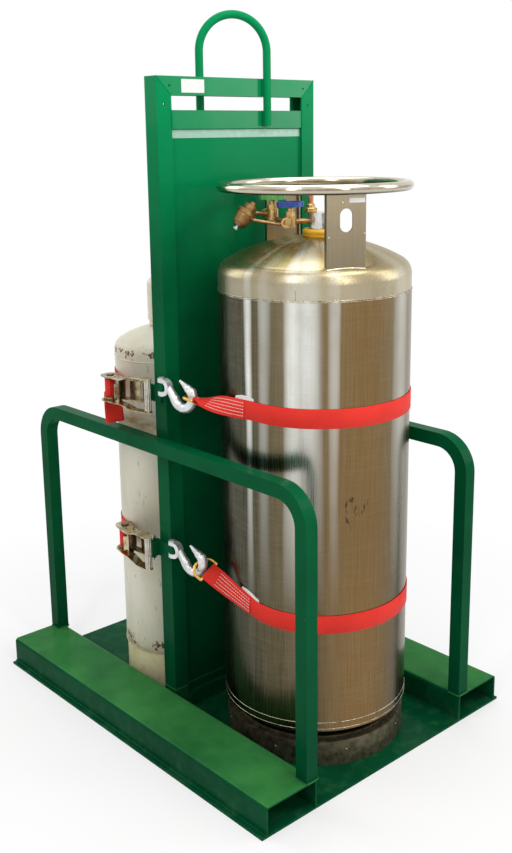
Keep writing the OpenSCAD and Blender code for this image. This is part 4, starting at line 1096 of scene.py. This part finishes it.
def vesselWelds():
    r = dewarR + seams["proud"]
    heights = [dewarHigh.z + h for h in seams["shell"]] + [dewarLow.z + h for h in seams["foot"]]
    rings = [tubeParts(circle(dewarC, r, z, step=3)[:-1], weldLook["seam"], 8, True) for z in heights]
    cross = [flat(dewarC) + unit(seams["cross"])*r + up*(dewarHigh.z + h) for h in seams["crossAt"]]
    meshPiece("shell_seams", *joined([*rings, tubeParts(cross, weldLook["seam"]*0.7, 8)]), seamSteel, "dewar",
              "stainless")
    feet = []
    for key in ("front", "rear"):
        out, across = unit(supports[key]), unit(supports[key] + 90)
        middle = flat(dewarC) + out*supports["weldAt"]
        line = [middle + across*(-0.05 + 0.1*k/10) for k in range(11)]
        feet.append([p + up*domeZ(hypot(p.x - dewarC.x, p.y - dewarC.y)) for p in line])
    beads("support_welds", feet, weldLook["support"], polished, "dewar", 0.4)
    hoops = [circle(gasC, gasR + seams["gasProud"], z) for z in seams["gasAt"]]
    beads("cylinder_seams", hoops, weldLook["cylinder"], cream, "gas_cylinder", 0.3)


def domeZ(r):
    # height of the dewar's head over a radius
    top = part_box("dewar_top_head")[1].z
    crown = 0.480
    return top - crown + sqrt(crown*crown - r*r)


frameWelds()
vesselWelds()
print("welds made")

# fittings and blank labels
def hexNut(place, r, h):
    # hexagon with turned-down corners
    rows = [(0.88, 0.0), (1.0, 0.14), (1.0, 0.86), (0.88, 1.0)]
    verts = [Vector(place) - unit(60*k + 15)*r*s + up*h*f for s, f in rows for k in range(6)]
    return verts, caps(len(rows), 6) + walls(len(rows), 6)


riser = {
    "at": (-0.002, -0.288), "nut": 0.0165, "nutHigh": 0.012, "tube": 0.0068,
    "gland": ((0, 0.012), (0.0115, 0.012), (0.0105, 0.020), (0.0085, 0.022), (0, 0.022)),
    "bottom": (0.016, 0.028), "lean": 0.0005, "top": 0.004,
}


def neckFittings():
    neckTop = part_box("dewar_neck")[1].z
    x, y = riser["at"]
    place = (x, y, neckTop)
    nut = joined([hexNut(place, riser["nut"], riser["nutHigh"]), lathe(riser["gland"], place)])
    meshPiece("riser_nut", *nut, brass, "dewar", "brass", smooth=False)
    path = [(x, y, neckTop + h) for h in riser["bottom"]]
    path.append((x, y + riser["lean"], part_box("guard_ring")[0].z + riser["top"]))
    meshPiece("riser_tube", *tubeParts(smoothPath(path), riser["tube"], 20), copper, "dewar", "copper")


def labelPlate(name, centre, across, size, body, slot, mat=whiteLabel, thick=0.0006):
    out = across.cross(up).normalized()
    w, h = size[0]/2, size[1]/2
    corners = ((-1, -1), (1, -1), (1, 1), (-1, 1))
    verts = [centre + across*a*w + up*b*h + out*c for c in (0, thick) for a, b in corners]
    faces = caps(2, 4) + walls(2, 4)
    meshPiece(name, verts, faces, mat, body, slot, smooth=False)


labels = {
    "wallX": -0.163, "wallDrop": 0.024, "wall": (0.076, 0.034),
    "lipDrop": 0.0125, "lipHigh": 0.022, "lipThick": 0.0012,
    "supportAt": (0.232, 0.027, 1.492), "support": (0.040, 0.011),      # outwards, across and height
}


def blankLabels():
    low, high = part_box("wall_post_left")
    right = Vector((1, 0, 0))
    labelPlate("wall_label", Vector((labels["wallX"], low.y, high.z - labels["wallDrop"])), right,
               labels["wall"], "root", "yellow_plastic")
    sheet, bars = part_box("wall_sheet_front")[0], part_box("wall_crossbars")
    size = (bars[1].x - bars[0].x, labels["lipHigh"])
    labelPlate("wall_lip", Vector((0, sheet.y, bars[0].z - labels["lipDrop"])), right, size,
               "root", "green_paint", paleGreen, labels["lipThick"])
    out, across = unit(supports["front"]), unit(supports["front"] + 90)
    x, y, z = labels["supportAt"]
    labelPlate("support_label", flat(dewarC) + out*x + across*y + up*z, across, labels["support"],
               "dewar", "yellow_plastic")


buckle = {
    "turns": {"upper": 109, "lower": 93},     # direction from the anchor bolt to the spool
    "grip": (0.1505, 0.037), "flutes": (0.0089, 0.0438, 0.0007, 10),
    "rivets": ((0.046, -0.008), (0.088, -0.008), (0.104, 0.0)),
    "plateTop": 0.0295, "rivet": 0.0032,
}


def fluted(place, r, half, depth, flutes):
    # upright bar with flutes round it and turned-down ends
    n = flutes*6
    rows = [(0.86, -half), (1.0, 0.0015 - half), (1.0, half - 0.0015), (0.86, half)]
    verts = []
    for scale, z in rows:
        verts += [place + unit(360*k/n)*(r + depth*cos(2*pi*flutes*k/n))*scale + up*z for k in range(n)]
    return verts, walls(len(rows), n) + caps(len(rows), n)


def buckleDetails(key):
    spool = pivot(f"spool_{key}_turn")
    turn = buckle["turns"][key]
    along, aside = unit(turn + 180), unit(turn + 90)
    x, y = buckle["grip"]
    grip = fluted(spool + along*x + aside*y, *buckle["flutes"])
    meshPiece(f"grip_{key}", *grip, silverGrip, f"handle_{key}", "zinc_steel", smooth=False)
    points, facing = [], []
    for side in (-1, 1):
        for x, y in buckle["rivets"]:
            points.append(spool + along*x + aside*y + up*side*buckle["plateTop"])
            facing.append(up*side)
    grow(f"plate_rivets_{key}", trees["rivet"], points, [],
         {"Radius": buckle["rivet"], "Height": 0.4, "Finish": silverGrip}, "root", facing)


studs = {
    "face": 0.2323, "front": ((-0.010, 1.487), (0.046, 1.412), (-0.045, 1.405)),      # across and height
    "foot": 8, "footFrom": 20, "footZ": 0.042, "radius": 0.003,
}


def smallRivets():
    # studs on the front support's edges and round the foot ring
    out, across = unit(supports["front"]), unit(supports["front"] + 90)
    face = flat(dewarC) + out*studs["face"]
    points = [face + across*a + up*z for a, z in studs["front"]]
    facing = [out]*len(points)
    low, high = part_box("dewar_foot_ring")
    r = (high.x - low.x)/2
    for k in range(studs["foot"]):
        a = unit(studs["footFrom"] + 360/studs["foot"]*k)
        points.append(flat(dewarC) + a*r + up*(low.z + studs["footZ"]))
        facing.append(a)
    grow("dewar_rivets", trees["rivet"], points, [],
         {"Radius": studs["radius"], "Height": 0.35, "Finish": seamSteel}, "dewar", facing)


neckFittings()
blankLabels()
smallRivets()
for key in straps:
    buckleDetails(key)
print("fittings made")

# floor
floorLook = {"color": (0.93, 0.93, 0.93), "size": 14, "white": (0.7, 1.6), "lift": 0.45}


def makeFloor():
    s = floorLook["size"]
    data = bpy.data.meshes.new("floor")
    data.from_pydata([(-s, -s, 0), (s, -s, 0), (s, s, 0), (-s, s, 0)], [], [[0, 1, 2, 3]])
    obj = placed("floor", data)
    p = Paint("floorPaint", floorLook["color"], 0.8, 0.0, Specular_IOR_Level=0.1)
    away = p.node("VectorMath", operation="LENGTH")
    p.put(away.inputs[0], p.where)
    far = p.spread(away.outputs["Value"], *floorLook["white"], (floorLook["lift"], 1.0))
    white = p.node("Emission")
    mix = p.node("MixShader")
    out = p.tree.nodes["Material Output"]
    p.put(mix.inputs[0], p.times(far, seenRays(p.tree)))
    linkNodes(p.tree, (p.shader.outputs[0], mix.inputs[1]), (white.outputs[0], mix.inputs[2]),
              (mix.outputs[0], out.inputs["Surface"]))
    data.materials.append(p.mat)


makeFloor()
